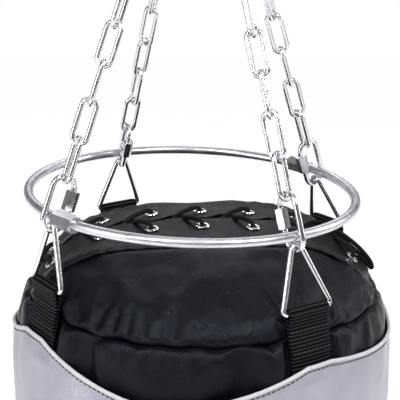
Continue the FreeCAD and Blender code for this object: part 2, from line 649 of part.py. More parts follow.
def make_hoop():
    """Two bent halves with threaded straight ends, screwed into two long hexagonal nuts."""
    centre, axis = hoop_frame()
    tilt = Rotation(Z_AXIS, axis)
    radius = size("hoop_radius")
    shown = size("coupler_length") / 2 + size("thread_shown")
    step = math.degrees(math.asin(shown / radius))
    front = size("coupler_front_angle")
    rear = size("coupler_rear_angle")
    thread_start = size("coupler_length") / 2 - size("thread_hidden")
    spans = (("hoop_half_right", front, rear), ("hoop_half_left", rear, front + 360))
    for label, start, end in spans:
        arc = primitive("Torus", "Arc_" + label, Radius1="Sizes.hoop_radius", Radius2="Sizes.hoop_wire")
        arc.Angle3 = end - start - 2 * step
        arc.Placement = at(Vector(), Rotation(Z_AXIS, start + step))
        doc.recompute()
        pieces = [arc.Shape]
        for angle, sign in ((start, 1), (end, -1)):
            out = Vector(math.cos(math.radians(angle)), math.sin(math.radians(angle)), 0)
            along = Z_AXIS.cross(out) * sign
            middle = out * (radius * math.cos(math.radians(step)))
            pieces.append(rod(middle + along * thread_start, middle + along * shown, size("thread_radius")))
        half = pieces[0].multiFuse(pieces[1:])
        feature(label, half, at(centre, tilt))
    coupler = hex_nut("Coupler", "Sizes.coupler_flats", "Sizes.coupler_length",
                      "Sizes.thread_radius + Sizes.nut_gap")
    doc.recompute()
    for label, angle in (("hoop_coupler_front", front), ("hoop_coupler_rear", rear)):
        out = Vector(math.cos(math.radians(angle)), math.sin(math.radians(angle)), 0)
        lie = Rotation(Z_AXIS, Z_AXIS.cross(out))
        place = at(centre, tilt).multiply(at(out * (radius * math.cos(math.radians(step))), lie))
        feature(label, coupler.Shape.copy(), place)


# --------------------------------------------------------------------------------- the bag

def crown_arcs():
    """Crown and shoulder arcs of the bag's outline: (radius, centre height) and their tangent angle."""
    shoulder = size("shoulder_radius")
    inner = size("side_radius") - shoulder
    crown_top = size("hoop_height") - size("crown_drop")
    shoulder_height = size("hoop_height") - size("shoulder_drop")
    rise = crown_top - shoulder - shoulder_height
    # The crown's circle touches the shoulder's from outside: inner^2 + d^2 = (d + rise)^2.
    deep = (inner ** 2 - rise ** 2) / (2 * rise)
    crown_radius = deep + rise + shoulder
    tangent = math.atan2(inner, deep)
    return crown_radius, crown_top - crown_radius, tangent, inner, shoulder_height


def bag_form(inset, bottom):
    """The bag's outer form made smaller all over by an inset, down to a height."""
    crown_radius, crown_centre, tangent, inner, shoulder_height = crown_arcs()
    crown = crown_radius - inset
    shoulder = size("shoulder_radius") - inset

    def on_crown(angle):
        return Vector(crown * math.sin(angle), 0, crown_centre + crown * math.cos(angle))

    def on_shoulder(angle):
        return Vector(inner + shoulder * math.sin(angle), 0, shoulder_height + shoulder * math.cos(angle))

    side = on_shoulder(math.pi / 2)
    middle_angle = (tangent + math.pi / 2) / 2
    foot = Vector(side.x, 0, bottom)
    base = Vector(0, 0, bottom)
    edges = [
        Part.Arc(on_crown(0), on_crown(tangent / 2), on_crown(tangent)).toShape(),
        Part.Arc(on_crown(tangent), on_shoulder(middle_angle), side).toShape(),
        Part.LineSegment(side, foot).toShape(),
        Part.LineSegment(foot, base).toShape(),
        Part.LineSegment(base, on_crown(0)).toShape(),
    ]
    return Part.Face(Part.Wire(edges)).revolve(Vector(), Z_AXIS, 360)


def on_bag(x, y, lift):
    """A point on the bag's top, lifted along the surface's normal, and that normal."""
    crown_radius, crown_centre, tangent, inner, shoulder_height = crown_arcs()
    radius = math.hypot(x, y)
    if radius < crown_radius * math.sin(tangent):
        angle = math.asin(radius / crown_radius)
        height = crown_centre + crown_radius * math.cos(angle)
    else:
        angle = math.asin((radius - inner) / size("shoulder_radius"))
        height = shoulder_height + size("shoulder_radius") * math.cos(angle)
    level = Vector(x, y, 0)
    level = level.normalize() if radius > 1e-9 else level
    normal = level * math.sin(angle) + Z_AXIS * math.cos(angle)
    return Vector(x, y, height) + normal * lift, normal


def slab(x_reach, y_low, y_high, z_low, z_high):
    """A box centred on the YZ plane, for trimming shells."""
    return Part.makeBox(2 * x_reach, y_high - y_low, z_high - z_low, Vector(-x_reach, y_low, z_low))


def make_top():
    """Top panels, laced flaps, inner tongue and the shoulder band, all sheets of coated fabric."""
    level = size("hoop_height")
    seam = level - size("seam_drop")
    gap = size("layer_gap")
    wall = size("cover_thickness")
    low = level - size("border_drop") - size("under_border")
    shell = bag_form(0, low).cut(bag_form(wall, low - 1))
    above = slab(FAR, -FAR, FAR, seam + gap / 2, level)
    below = slab(FAR, -FAR, FAR, low, seam - gap / 2)
    crown = shell.common(above)
    slit = size("slit_half")
    edge = size("flap_half")
    holes = Part.makeCompound(eyelet_holes())
    for name, row in (("front", -1), ("rear", 1)):
        flap = slab(FAR, *sorted((row * slit, row * edge)), low, level)
        feature("lacing_flap_" + name, crown.common(flap).cut(holes))
        panel = slab(FAR, *sorted((row * (edge + gap), row * FAR)), low, level)
        feature("top_panel_" + name, crown.common(panel))
    feature("shoulder_band", shell.common(below))
    top = size("tongue_depth")
    tongue = bag_form(top, low).cut(bag_form(top + size("tongue_thickness"), low - 1))
    room = slab(size("trough_end") - 1, 1 - size("trough_half"), size("trough_half") - 1, low, level)
    feature("inner_tongue", tongue.common(room).common(slab(FAR, -FAR, FAR, low + 5, level)))


def eyelet_places():
    """Every eyelet's (pair index, row sign, x, y): pair 0 in the middle, row -1 in front."""
    half = int(size("eyelet_pairs")) // 2
    return [(pair, row, pair * size("eyelet_pitch"), row * size("eyelet_row"))
            for row in (-1, 1) for pair in range(-half, half + 1)]


def eyelet_holes():
    """Cylinders that clear each eyelet's barrel through the flaps."""
    holes = []
    for pair, row, x, y in eyelet_places():
        middle, normal = on_bag(x, y, 0)
        holes.append(rod(middle - normal * 5, middle + normal * 5,
                         size("eyelet_hole") + size("eyelet_wall") + 0.1))
    return holes


def make_eyelets():
    """Pressed eyelets: a rolled flange on top, a barrel and a washer under the flap."""
    form = turned("eyelet", [
        ("Sizes.eyelet_hole", "0 - Sizes.cover_thickness - 1.1"),
        ("Sizes.eyelet_flange - 0.4", "0 - Sizes.cover_thickness - 1.1"),
        ("Sizes.eyelet_flange - 0.4", "0 - Sizes.cover_thickness - 0.4"),
        ("Sizes.eyelet_hole + Sizes.eyelet_wall", "0 - Sizes.cover_thickness - 0.4"),
        ("Sizes.eyelet_hole + Sizes.eyelet_wall", "0.25"),
        ("Sizes.eyelet_flange", "0.25"),
        ("Sizes.eyelet_flange - 0.3", "0.8"),
        ("Sizes.eyelet_flange - 1.4", "1.15"),
        ("Sizes.eyelet_hole + 0.7", "1"),
        ("Sizes.eyelet_hole", "0.3"),
    ])
    doc.recompute()
    for label, wanted in (("eyelets_front", -1), ("eyelets_rear", 1)):
        rings = []
        for pair, row, x, y in eyelet_places():
            if row != wanted:
                continue
            middle, normal = on_bag(x, y, 0)
            ring = form.Shape.copy()
            ring.Placement = at(middle, Rotation(Z_AXIS, normal))
            rings.append(ring)
        feature(label, Part.makeCompound(rings))


def strand(row):
    """One strand's path from pair to pair: up an eyelet, over to the slit, under the other flap.

    It starts in the given row of the right-hand pair and changes rows at every pair.
    """
    over = size("lace_over")
    under = -size("lace_under")
    dive = size("lace_dive")
    bend = size("lace_bend")
    half = int(size("eyelet_pairs")) // 2
    path = []
    for pair in range(half, -half - 1, -1):
        x = pair * size("eyelet_pitch")
        y = row * size("eyelet_row")
        path.append((on_bag(x, y, under)[0], bend))
        path.append((on_bag(x, y, over)[0], bend))
        entry = size("lace_front_entry") if row < 0 else size("lace_rear_entry")
        if pair == -half:
            entry -= size("lace_last_entry")
        slope = entry / abs(y)
        path.append((on_bag(x - entry + slope * dive, row * dive, over)[0], size("lace_dive_bend")))
        path.append((on_bag(x - entry - slope * dive, -row * dive, under)[0], size("lace_dive_bend")))
        row = -row
    return path


def make_lace():
    """The lace: its middle lies under the right-hand pair and both ends meet in a hidden knot."""
    strands = [strand(row) for row in (-1, 1)]
    route = list(reversed(strands[0])) + strands[1]
    path = rounded_path(route, False)
    tube = bent_wire(route, size("lace_radius"), False)
    expected = math.pi * size("lace_radius") ** 2 * path.Length
    print("lace length %.0f mm, volume against section times length %.4f"
          % (path.Length, tube.Volume / expected))
    feature("lace", tube)
    ends = (route[0][0] + route[-1][0]) * 0.5
    middle, normal = on_bag(ends.x, ends.y, -size("lace_under"))
    knot = primitive("Ellipsoid", "Knot", Radius1="Sizes.knot_thickness / 2", Radius2="Sizes.knot_width / 2",
                     Radius3="Sizes.knot_width / 2")
    knot.Placement = at(middle, Rotation(Z_AXIS, normal))
    node(knot, "lace_knot")


def make_filling():
    """The packed textile filling, with a trough under the lacing."""
    level = size("hoop_height")
    inset = size("cover_thickness") + size("layer_gap")
    shoulder_end = level - size("border_drop") - size("under_border")
    bottom = level - size("bag_bottom_drop") + inset
    top = bag_form(inset, shoulder_end)
    trough = top.cut(bag_form(size("trough_depth"), shoulder_end - 1))
    room = slab(size("trough_end"), -size("trough_half"), size("trough_half"), shoulder_end + 4, level)
    side = size("side_radius")
    bevel = size("cover_foot")
    body_height = shoulder_end - size("layer_gap") - bottom - bevel
    body = Part.makeCylinder(side, body_height, Vector(0, 0, bottom + bevel))
    foot = Part.makeCone(side - bevel, side, bevel, Vector(0, 0, bottom))
    neck = Part.makeCylinder(side - inset, 1, Vector(0, 0, shoulder_end - size("layer_gap") - 0.5))
    feature("filling", top.cut(trough.common(room)).multiFuse([neck, body, foot]))


def tube(label, inner, outer, low, high):
    """A plain tube on the bag's axis, bound to the sheet."""
    name = label.title().replace("_", "")
    outside = primitive("Cylinder", name + "Outside", Radius=outer, Height="%s - (%s)" % (high, low))
    inside = primitive("Cylinder", name + "Inside", Radius=inner, Height="%s - (%s)" % (high, low))
    for piece in (outside, inside):
        piece.setExpression("Placement.Base.z", low)
    return less(name, outside, inside)


def make_side(corners):
    """Silver panels, main cover, foam liner, bottom panel and the piping cords."""
    inner = "Sizes.outer_radius - Sizes.cover_thickness"
    outer = "Sizes.outer_radius"
    border = "Sizes.hoop_height - Sizes.border_drop"
    silver_low = border + " - Sizes.silver_height"
    base = "Sizes.hoop_height - Sizes.bag_bottom_drop"
    silver = tube("silver_tube", inner, outer, silver_low, border)
    cover = tube("main_tube", inner, outer, base + " + Sizes.cover_foot",
                 silver_low + " - 2.2 * Sizes.piping_radius")
    node(cover, "main_cover")
    liner = tube("liner_tube", "Sizes.side_radius + Sizes.layer_gap", inner + " - Sizes.layer_gap",
                 base + " + Sizes.liner_foot", border + " - Sizes.liner_drop")
    doc.recompute()
    gap = size("layer_gap")
    low, high = value_of(silver_low) - 1, value_of(border) + 1
    for label, x_low in (("silver_panel_left", -FAR - gap), ("silver_panel_right", gap)):
        half = Part.makeBox(FAR, 2 * FAR, high - low, Vector(x_low, -FAR, low))
        feature(label, silver.Shape.common(half))
    slots = []
    slot_width = size("strap_width") + 2 * size("slot_room")
    slot_foot = size("hoop_height") - size("strap_end") - 2 * size("slot_room")
    for corner in corners:
        slot = Part.makeBox(size("slot_depth"), slot_width, size("slot_height"),
                            Vector(size("slot_radius"), -slot_width / 2, 0))
        slot.Placement = at(Vector(0, 0, slot_foot), Rotation(X_AXIS, corner.radial))
        slots.append(slot)
    feature("foam_liner", liner.Shape.cut(Part.makeCompound(slots)))
    node(turned("bottom", [
        ("0", base),
        ("Sizes.outer_radius - Sizes.base_rim", base),
        ("Sizes.outer_radius", base + " + Sizes.base_rim"),
        ("Sizes.outer_radius - 1.4 * Sizes.cover_thickness", base + " + Sizes.base_rim"),
        ("Sizes.outer_radius - Sizes.base_rim - Sizes.cover_thickness / 2",
         base + " + Sizes.cover_thickness"),
        ("0", base + " + Sizes.cover_thickness"),
    ]), "bottom_panel")
    piping("border_piping", outer, border + " + Sizes.piping_radius + 0.1")
    piping("waist_piping", outer, silver_low + " - 1.1 * Sizes.piping_radius")


def piping(label, radius, height):
    """A piping cord round the bag."""
    cord = primitive("Torus", label.title().replace("_", ""), Radius1=radius, Radius2="Sizes.piping_radius")
    cord.setExpression("Placement.Base.z", height)
    node(cord, label)


def band(points, thickness):
    """A flat face of constant thickness along a line of (radius, height) points."""
    left = []
    right = []
    for index, point in enumerate(points):
        before = (point - points[index - 1]).normalize() if index else None
        after = (points[index + 1] - point).normalize() if index < len(points) - 1 else None
        along = before + after if before and after else before or after
        normal = Vector(-along.z, 0, along.x).normalize()
        stretch = thickness / 2 / (normal.dot(Vector(-after.z, 0, after.x)) if after else 1)
        left.append(point + normal * stretch)
        right.append(point - normal * stretch)
    return Part.Face(Part.makePolygon(left + list(reversed(right)) + [left[0]]))


def disc(centre, radius):
    """A round flat face in a plane of constant Y."""
    return Part.Face(Part.Wire(Part.makeCircle(radius, centre, Y_AXIS)))


def make_straps(corners):
    """Webbing straps: looped round the base bar, tail folded out, long ply down the bag's side."""
    thick = size("strap_thickness")
    width = size("strap_width")
    level = size("hoop_height")
    inner = size("triangle_wire") + size("strap_gap")
    for corner in corners:
        bar = Vector(size("base_bar_radius"), 0, corner.bar.z)
        meet = bar - Z_AXIS * (inner + thick + size("strap_grip"))
        side = size("side_radius") + size("layer_gap") + thick / 2
        landing = Vector(side, 0, level - size("strap_landing"))
        end = Vector(side, 0, level - size("strap_end"))
        fall = (landing - meet).normalize()
        outward = Vector(-fall.z, 0, fall.x)
        loop = inner + thick / 2
        ply = [bar - X_AXIS * loop, meet, landing, end]
        tail_top = meet + outward * (thick * TAIL_SEAT)
        tail = [bar + X_AXIS * loop, tail_top, tail_top + fall * size("strap_tail")]
        across = Vector(0, width, 0)
        start = across * -0.5
        centre = bar + start
        loop_face = disc(centre, inner + thick)
        bands = [band([point + start for point in points], thick) for points in (ply, tail)]
        section = loop_face.multiFuse(bands).cut(disc(centre, inner)).removeSplitter()
        strap = section.extrude(across)
        feature("strap_" + corner.name, strap, at(Vector(), Rotation(X_AXIS, corner.radial)))


# ------------------------------------------------------------------------------------ build

def check_document():
    """Stop if any object failed or any sub-part's shape is missing or invalid."""
    doc.recompute()
    for thing in doc.Objects:
        if "Invalid" in thing.State or "Error" in thing.State:
            raise RuntimeError("failed object: " + thing.Name)
    for thing in NODES:
        if thing.Shape.isNull() or not thing.Shape.isValid():
            raise RuntimeError("bad shape: " + thing.Label)


def write_parts():
    """Write one STEP file for each sub-part."""
    os.makedirs("parts", exist_ok=True)
    for thing in NODES:
        thing.Shape.exportStep("parts/%s.step" % thing.Label)
        print("%-26s %9.1f cm3" % (thing.Label, thing.Shape.Volume / 1000))


def main():
    """Build every sub-part, check the document and write the parts."""
    corners = [Corner(*row) for row in CORNERS]
    make_hanging_eye()
    make_swivel()
    make_top_link()
    make_corner_hardware(corners)
    make_hoop()
    make_filling()
    make_top()
    make_eyelets()
    make_lace()
    make_side(corners)
    make_straps(corners)
    for corner in corners:
        print("%-12s gap between links %.2f mm" % (corner.name, corner.gap))
    check_document()
    write_parts()


main()
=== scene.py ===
"""Looks of the hanging heavy bag: coated fabric, webbing, lace, stitching and zinc plated steel.

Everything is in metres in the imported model's frame.  The bag's top is described by its
outline (an arc for the crown, an arc for the shoulder, then the straight side) and by
azimuth round the bag's axis; `LEVEL` is the height of the hoop on that axis.
"""
import json
import math

import bpy
import numpy as np
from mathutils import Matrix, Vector


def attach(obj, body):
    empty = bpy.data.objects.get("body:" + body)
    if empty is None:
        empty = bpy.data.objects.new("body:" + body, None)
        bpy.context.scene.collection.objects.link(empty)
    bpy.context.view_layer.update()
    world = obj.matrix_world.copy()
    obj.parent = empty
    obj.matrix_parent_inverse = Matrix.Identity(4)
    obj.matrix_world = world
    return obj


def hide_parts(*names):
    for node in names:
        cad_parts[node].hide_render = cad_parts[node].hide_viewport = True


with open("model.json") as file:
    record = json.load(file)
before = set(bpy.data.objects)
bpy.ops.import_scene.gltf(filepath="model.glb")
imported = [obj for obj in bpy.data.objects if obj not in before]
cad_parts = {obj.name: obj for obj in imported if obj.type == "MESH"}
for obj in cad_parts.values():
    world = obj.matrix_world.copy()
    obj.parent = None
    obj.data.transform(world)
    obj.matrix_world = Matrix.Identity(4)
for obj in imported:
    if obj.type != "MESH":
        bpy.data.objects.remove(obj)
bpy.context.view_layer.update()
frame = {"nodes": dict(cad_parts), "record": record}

# -------------------- sizes

# Heights are below the mount, depths and drops below the hoop's level.
LEVEL = -0.4915
CROWN_DROP = 0.025
SHOULDER_DROP = 0.126
SHOULDER_RADIUS = 0.095
SIDE_RADIUS = 0.1615
OUTER_RADIUS = 0.1666
SHEET = 0.0014
SEAM_DROP = 0.079
BAND_DROP = 0.150
WAIST_DROP = 0.347
BOTTOM_DROP = 1.022
SILVER_LOW = LEVEL - WAIST_DROP
SIDE_SEAM_HALF = 0.0045
SEAM_SIDES = (("left", -1), ("right", 1))
FLAP_HALF = 0.062
FLAP_END = 0.1462
FLAP_ROWS = {"outer": 0.0022, "inner": 0.0105}
EYELET_PITCH = 0.043
EYELET_ROW = 0.021
EYELET_PAIRS = 7
PIPING = 0.0016
THREAD_RADIUS = 0.00042

BAR_RADIUS = 0.1513
STRAP_WIDTH = 0.037
STRAP_THICK = 0.002
STRAP_LOOP = 0.0036
STRAP_LANDING = 0.112
STRAP_END = 0.262
STRAP_TAIL = 0.024
STRAP_SIDE = SIDE_RADIUS + 0.0013

LACE_RADIUS = 0.0020
LACE_OVER = 0.0031
LACE_UNDER = -0.0048

# Cloth simulation of the gathered pieces: frames, share of spare fabric, how far a point may
# move, passes of smoothing, and Blender's own settings.
GATHER_FRAMES = 22
GATHER_SPARE = 0.12
GATHER_CAP = 0.0045
IRON_PASSES = 2
CLOTH = {
    "quality": 5,
    "mass": 0.25,
    "tension_stiffness": 40,
    "compression_stiffness": 40,
    "shear_stiffness": 12,
    "bending_stiffness": 6,
    "tension_damping": 12,
    "compression_damping": 12,
    "shear_damping": 12,
    "bending_damping": 1,
    "air_damping": 3,
    "vertex_group_mass": "hold",
    "pin_stiffness": 8,
    "vertex_group_shrink": "spare",
    "shrink_min": -GATHER_SPARE,
    "shrink_max": 0.0,
    "use_pressure": True,
    "uniform_pressure_force": 0.4,
}

# Corner: azimuth in degrees and the base bar's depth under the level.
CORNERS = {
    "rear_right": (33.5, 0.0574),
    "rear_left": (120.0, 0.0534),
    "front_left": (213.5, 0.0522),
    "front_right": (299.0, 0.0569),
}

# Silver border from each corner on: depth at the corner, sag for a radian of span, and the
# angle near the corners in which it lies level.
SWAGS = {
    "rear_right": (0.100, 0.0145, 0.08),
    "rear_left": (0.092, 0.0165, 0.12),
    "front_left": (0.0955, 0.0165, 0.04),
    "front_right": (0.1005, 0.0090, 0.10),
}

# Where the filling pushes the top out or leaves it low: height, azimuth in degrees and its
# spread, length of arc and its spread.
BULGES = (
    (0.0020, 45, 0.26, 0.095, 0.020),
    (-0.0062, 94, 0.25, 0.092, 0.030),
    (0.0042, 188, 0.42, 0.150, 0.034),
    (-0.0018, -100, 0.5, 0.100, 0.020),
)

# The seam under the top: its wander, and how far it hangs at one place and is drawn up at the straps.
SEAM_WANDER = 0.0007
SEAM_HANG = 0.0038
SEAM_HANG_AT = math.radians(335)
SEAM_DRAWN = 0.0035

TAU = 2 * math.pi
INNER = SIDE_RADIUS - SHOULDER_RADIUS
RISE = SHOULDER_DROP - CROWN_DROP - SHOULDER_RADIUS
DEEP = (INNER ** 2 - RISE ** 2) / (2 * RISE)
CROWN_RADIUS = DEEP + RISE + SHOULDER_RADIUS
TANGENT = math.atan2(INNER, DEEP)
CROWN_CENTRE = LEVEL - CROWN_DROP - CROWN_RADIUS
SHOULDER_LEVEL = LEVEL - SHOULDER_DROP
CROWN_ARC = CROWN_RADIUS * TANGENT
SIDE_START = CROWN_ARC + SHOULDER_RADIUS * (math.pi / 2 - TANGENT)


# -------------------- bag's form

def smooth(value, low, high):
    """0 below low, 1 above high, and an even curve between."""
    t = np.clip((np.asarray(value, float) - low) / (high - low), 0, 1)
    return t * t * (3 - 2 * t)


def hump(value, middle, spread):
    """A bell of height 1."""
    return np.exp(-0.5 * ((np.asarray(value, float) - middle) / spread) ** 2)


def turn_from(azimuth, middle):
    """Signed angle from a direction, in radians, between minus and plus half a turn."""
    return (azimuth - middle + math.pi) % TAU - math.pi


def waves(azimuth, low, high, count, seed):
    """A smooth random wave round the bag, of about unit size, made of whole harmonics."""
    random = np.random.default_rng(seed)
    total = np.zeros_like(np.asarray(azimuth, float))
    for _ in range(count):
        total = total + np.sin(random.integers(low, high) * azimuth + random.uniform(0, TAU))
    return total / math.sqrt(count / 2) / 1.4


def outline(arc):
    """Radius, height and normal's angle at a length of arc from the crown's centre."""
    arc = np.asarray(arc, float)
    on_crown = arc < CROWN_ARC
    angle = np.where(on_crown, arc / CROWN_RADIUS, TANGENT + (arc - CROWN_ARC) / SHOULDER_RADIUS)
    angle = np.minimum(angle, math.pi / 2)
    below = np.maximum(arc - SIDE_START, 0)
    radius = np.where(on_crown, CROWN_RADIUS * np.sin(angle), INNER + SHOULDER_RADIUS * np.sin(angle))
    crown = CROWN_CENTRE + CROWN_RADIUS * np.cos(angle)
    shoulder = SHOULDER_LEVEL + SHOULDER_RADIUS * np.cos(angle) - below
    return radius, np.where(on_crown, crown, shoulder), angle


def arc_at_radius(radius):
    """Length of arc where the outline has a radius, on the crown or the shoulder."""
    radius = np.asarray(radius, float)
    crown = CROWN_RADIUS * np.arcsin(np.clip(radius / CROWN_RADIUS, 0, 1))
    angle = np.arcsin(np.clip((radius - INNER) / SHOULDER_RADIUS, 0, 1))
    shoulder = CROWN_ARC + SHOULDER_RADIUS * (angle - TANGENT)
    return np.where(radius < CROWN_RADIUS * math.sin(TANGENT), crown, shoulder)


def arc_at_depth(depth):
    """Length of arc at a depth under the level, on the shoulder or the side."""
    depth = np.asarray(depth, float)
    angle = np.arccos(np.clip((SHOULDER_DROP - depth) / SHOULDER_RADIUS, 0, 1))
    side = SIDE_START + depth - SHOULDER_DROP
    return np.where(depth < SHOULDER_DROP, CROWN_ARC + SHOULDER_RADIUS * (angle - TANGENT), side)


def around(azimuth, radius, height):
    """Points at azimuths, radii and heights about the bag's axis."""
    return np.stack(np.broadcast_arrays(radius * np.cos(azimuth), radius * np.sin(azimuth), height), -1)


def on_bag(azimuth, arc, lift):
    """Points on the bag's outline, lifted along its normal."""
    radius, height, angle = outline(arc)
    return around(azimuth, radius + lift * np.sin(angle), height + lift * np.cos(angle))


def seam_arc(azimuth):
    """Where the top is sewn to the shoulder band: drawn up a little at each strap, and wavy."""
    depth = SEAM_DROP + SEAM_WANDER * waves(azimuth, 20, 44, 9, 3)
    depth = depth + SEAM_HANG * hump(turn_from(azimuth, SEAM_HANG_AT), 0, 0.5)
    for corner, _ in CORNERS.values():
        depth = depth - SEAM_DRAWN * hump(turn_from(azimuth, math.radians(corner)), 0, 0.11)
    return arc_at_depth(depth)


def fullness(azimuth, arc):
    """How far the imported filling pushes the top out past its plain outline."""
    radius, _, _ = outline(arc)
    across = np.abs(radius * np.sin(azimuth))
    back = smooth(np.sin(azimuth), 0.15, 0.7)
    full = 0.0056 * smooth(radius, 0.060, 0.110) * (1 - 0.9 * smooth(arc, 0.15, 0.215)) * (1 - back)
    for height, middle, spread, middle_arc, arc_spread in BULGES:
        beside = hump(turn_from(azimuth, math.radians(middle)), 0, spread)
        full = full + height * beside * hump(arc, middle_arc, arc_spread)
    full = full + 0.0010 * waves(azimuth, 2, 6, 5, 11) * smooth(radius, 0.06, 0.11)
    return full * smooth(across, 0.027, 0.056)


def folds(azimuth, distance, reach, seed):
    """Gathers in the fabric beside a sewn line, dying away over a distance from it."""
    near = np.abs(distance)
    start = near / (near + 0.0035)
    patches = 0.62 + 0.38 * waves(azimuth, 3, 9, 6, seed + 40)
    short = waves(azimuth + 0.05 * np.sin(3 * azimuth), 42, 74, 9, seed)
    short = short * np.exp(-(near / (0.42 * reach)) ** 2)
    long = waves(azimuth, 17, 34, 9, seed + 7) * np.exp(-(near / reach) ** 2)
    return start * patches * (0.45 * short + 0.75 * long)


def strap_line(depth):
    """Radius of a strap's middle at a depth under the level, on its way down the side."""
    start = 0.0686
    slope = (depth - start) / (STRAP_LANDING - start)
    return BAR_RADIUS + np.clip(slope, 0, 1) * (STRAP_SIDE - BAR_RADIUS)


def directions(azimuth):
    """Level directions out from the axis and to the side, at an azimuth in degrees."""
    cosine, sine = math.cos(math.radians(azimuth)), math.sin(math.radians(azimuth))
    return np.array([cosine, sine, 0]), np.array([-sine, cosine, 0])


def press_straps(points, margin, outside=False):
    """Press a skin in under the straps, or hold it outside them."""
    result = points.copy()
    for azimuth, _ in CORNERS.values():
        out, side = (direction[:2] for direction in directions(azimuth))
        radial = result[..., :2] @ out
        lateral = result[..., :2] @ side
        depth = LEVEL - result[..., 2]
        line = strap_line(depth) - lateral ** 2 / (2 * SIDE_RADIUS)
        weight = 1 - smooth(np.abs(lateral), STRAP_WIDTH / 2 + 0.0005, STRAP_WIDTH / 2 + 0.009)
        weight = weight * (radial > 0) * smooth(depth, 0.058, 0.072)
        if outside:
            change = np.maximum(line + margin - radial, 0) * weight
        else:
            change = np.minimum(line - margin - radial, 0) * weight
        result[..., :2] += change[..., None] * out
    return result


# -------------------- mesh tools

def finish_mesh(name, vertices, faces, uv=None):
    """A new object from vertices and faces, with one (u, v) pair per face corner where given."""
    mesh = bpy.data.meshes.new(name)
    mesh.from_pydata([tuple(v) for v in vertices], [], faces)
    if uv is not None:
        layer = mesh.uv_layers.new(name="cut")
        layer.data.foreach_set("uv", np.asarray(uv, np.float32).ravel())
    mesh.update()
    mesh.polygons.foreach_set("use_smooth", [True] * len(mesh.polygons))
    piece = bpy.data.objects.new(name, mesh)
    bpy.context.scene.collection.objects.link(piece)
    return piece


def sheet_faces(rows, columns, steps):
    """Quads between rows of points; with as many steps as columns each row closes on itself."""
    return [(i * columns + j, (i + 1) * columns + j, (i + 1) * columns + (j + 1) % columns,
             i * columns + (j + 1) % columns) for i in range(rows - 1) for j in range(steps)]


def grid(name, points, wrap=False):
    """A sheet through a (rows, columns) array of points; wrap joins the last column to the first."""
    rows, columns, _ = points.shape
    steps = columns if wrap else columns - 1
    uv = []
    for i in range(rows - 1):
        low, high = i / (rows - 1), (i + 1) / (rows - 1)
        for j in range(steps):
            left, right = j / steps, (j + 1) / steps
            uv += [(left, low), (left, high), (right, high), (right, low)]
    return finish_mesh(name, points.reshape(-1, 3), sheet_faces(rows, columns, steps), uv)


def frames_along(line, normals, closed):
    """Tangent, normal and side vectors along a line of points."""
    if closed:
        tangent = np.roll(line, -1, 0) - np.roll(line, 1, 0)
    else:
        tangent = np.gradient(line, axis=0)
    tangent = tangent / np.linalg.norm(tangent, axis=1)[:, None]
    side = np.cross(tangent, normals)
    side = side / np.linalg.norm(side, axis=1)[:, None]
    return tangent, np.cross(side, tangent), side


def section_faces(count, sides, closed=False):
    """Faces of a form through closed sections of points: capped, or joined end to end."""
    faces = []
    for i in range(count if closed else count - 1):
        j = (i + 1) % count
        for k in range(sides):
            m = (k + 1) % sides
            faces.append((i * sides + k, i * sides + m, j * sides + m, j * sides + k))
    if not closed:
        faces.append(tuple(range(sides))[::-1])
        faces.append(tuple((count - 1) * sides + k for k in range(sides)))
    return faces


def lengths_along(line):
    """Length from a line's start to each of its points."""
    return np.r_[0, np.cumsum(np.linalg.norm(np.diff(line, axis=0), axis=1))]


def evenly(line, normals, step):
    """A line of points and its normals at an even spacing."""
    lengths = lengths_along(line)
    count = max(2, int(lengths[-1] / step))
    at = np.linspace(0, lengths[-1], count)
    points = np.stack([np.interp(at, lengths, line[:, k]) for k in range(3)], 1)
    out = np.stack([np.interp(at, lengths, normals[:, k]) for k in range(3)], 1)
    return points, out / np.linalg.norm(out, axis=1)[:, None]


def stitches(name, line, normals, pitch=0.0042):
    """A row of sewn stitches lying on a line of points: one small rounded thread for each."""
    points, out = evenly(line, normals, pitch)
    along, up, side = frames_along(points, out, False)
    stations = np.array([-0.5, -0.38, 0.0, 0.38, 0.5]) * pitch * 0.78
    swell = np.array([0.35, 0.9, 1.0, 0.9, 0.35]) * THREAD_RADIUS
    sink = np.array([-0.9, 0.1, 0.5, 0.1, -0.9]) * THREAD_RADIUS
    sides = 6
    one = section_faces(len(stations), sides)
    vertices = []
    faces = []
    for p, a, n, s in zip(points, along, up, side):
        base = len(vertices)
        for x, r, z in zip(stations, swell, sink):
            for t in np.arange(sides) * TAU / sides:
                vertices.append(p + a * x + n * (z + r * math.cos(t)) + s * r * math.sin(t))
        faces += [tuple(base + index for index in face) for face in one]
    return finish_mesh(name, vertices, faces)


def normals_on(points):
    """Outward directions of the bag's form at points near it."""
    radius = np.hypot(points[:, 0], points[:, 1])
    depth = LEVEL - points[:, 2]
    on_side = depth > SHOULDER_DROP
    angle = np.where(on_side, math.pi / 2, np.arctan2(np.maximum(radius - INNER, radius * 0.12),
                                                      points[:, 2] - SHOULDER_LEVEL))
    level = points[:, :2] / np.maximum(radius, 1e-6)[:, None]
    return np.column_stack([level * np.sin(angle)[:, None], np.cos(angle)])


# -------------------- materials

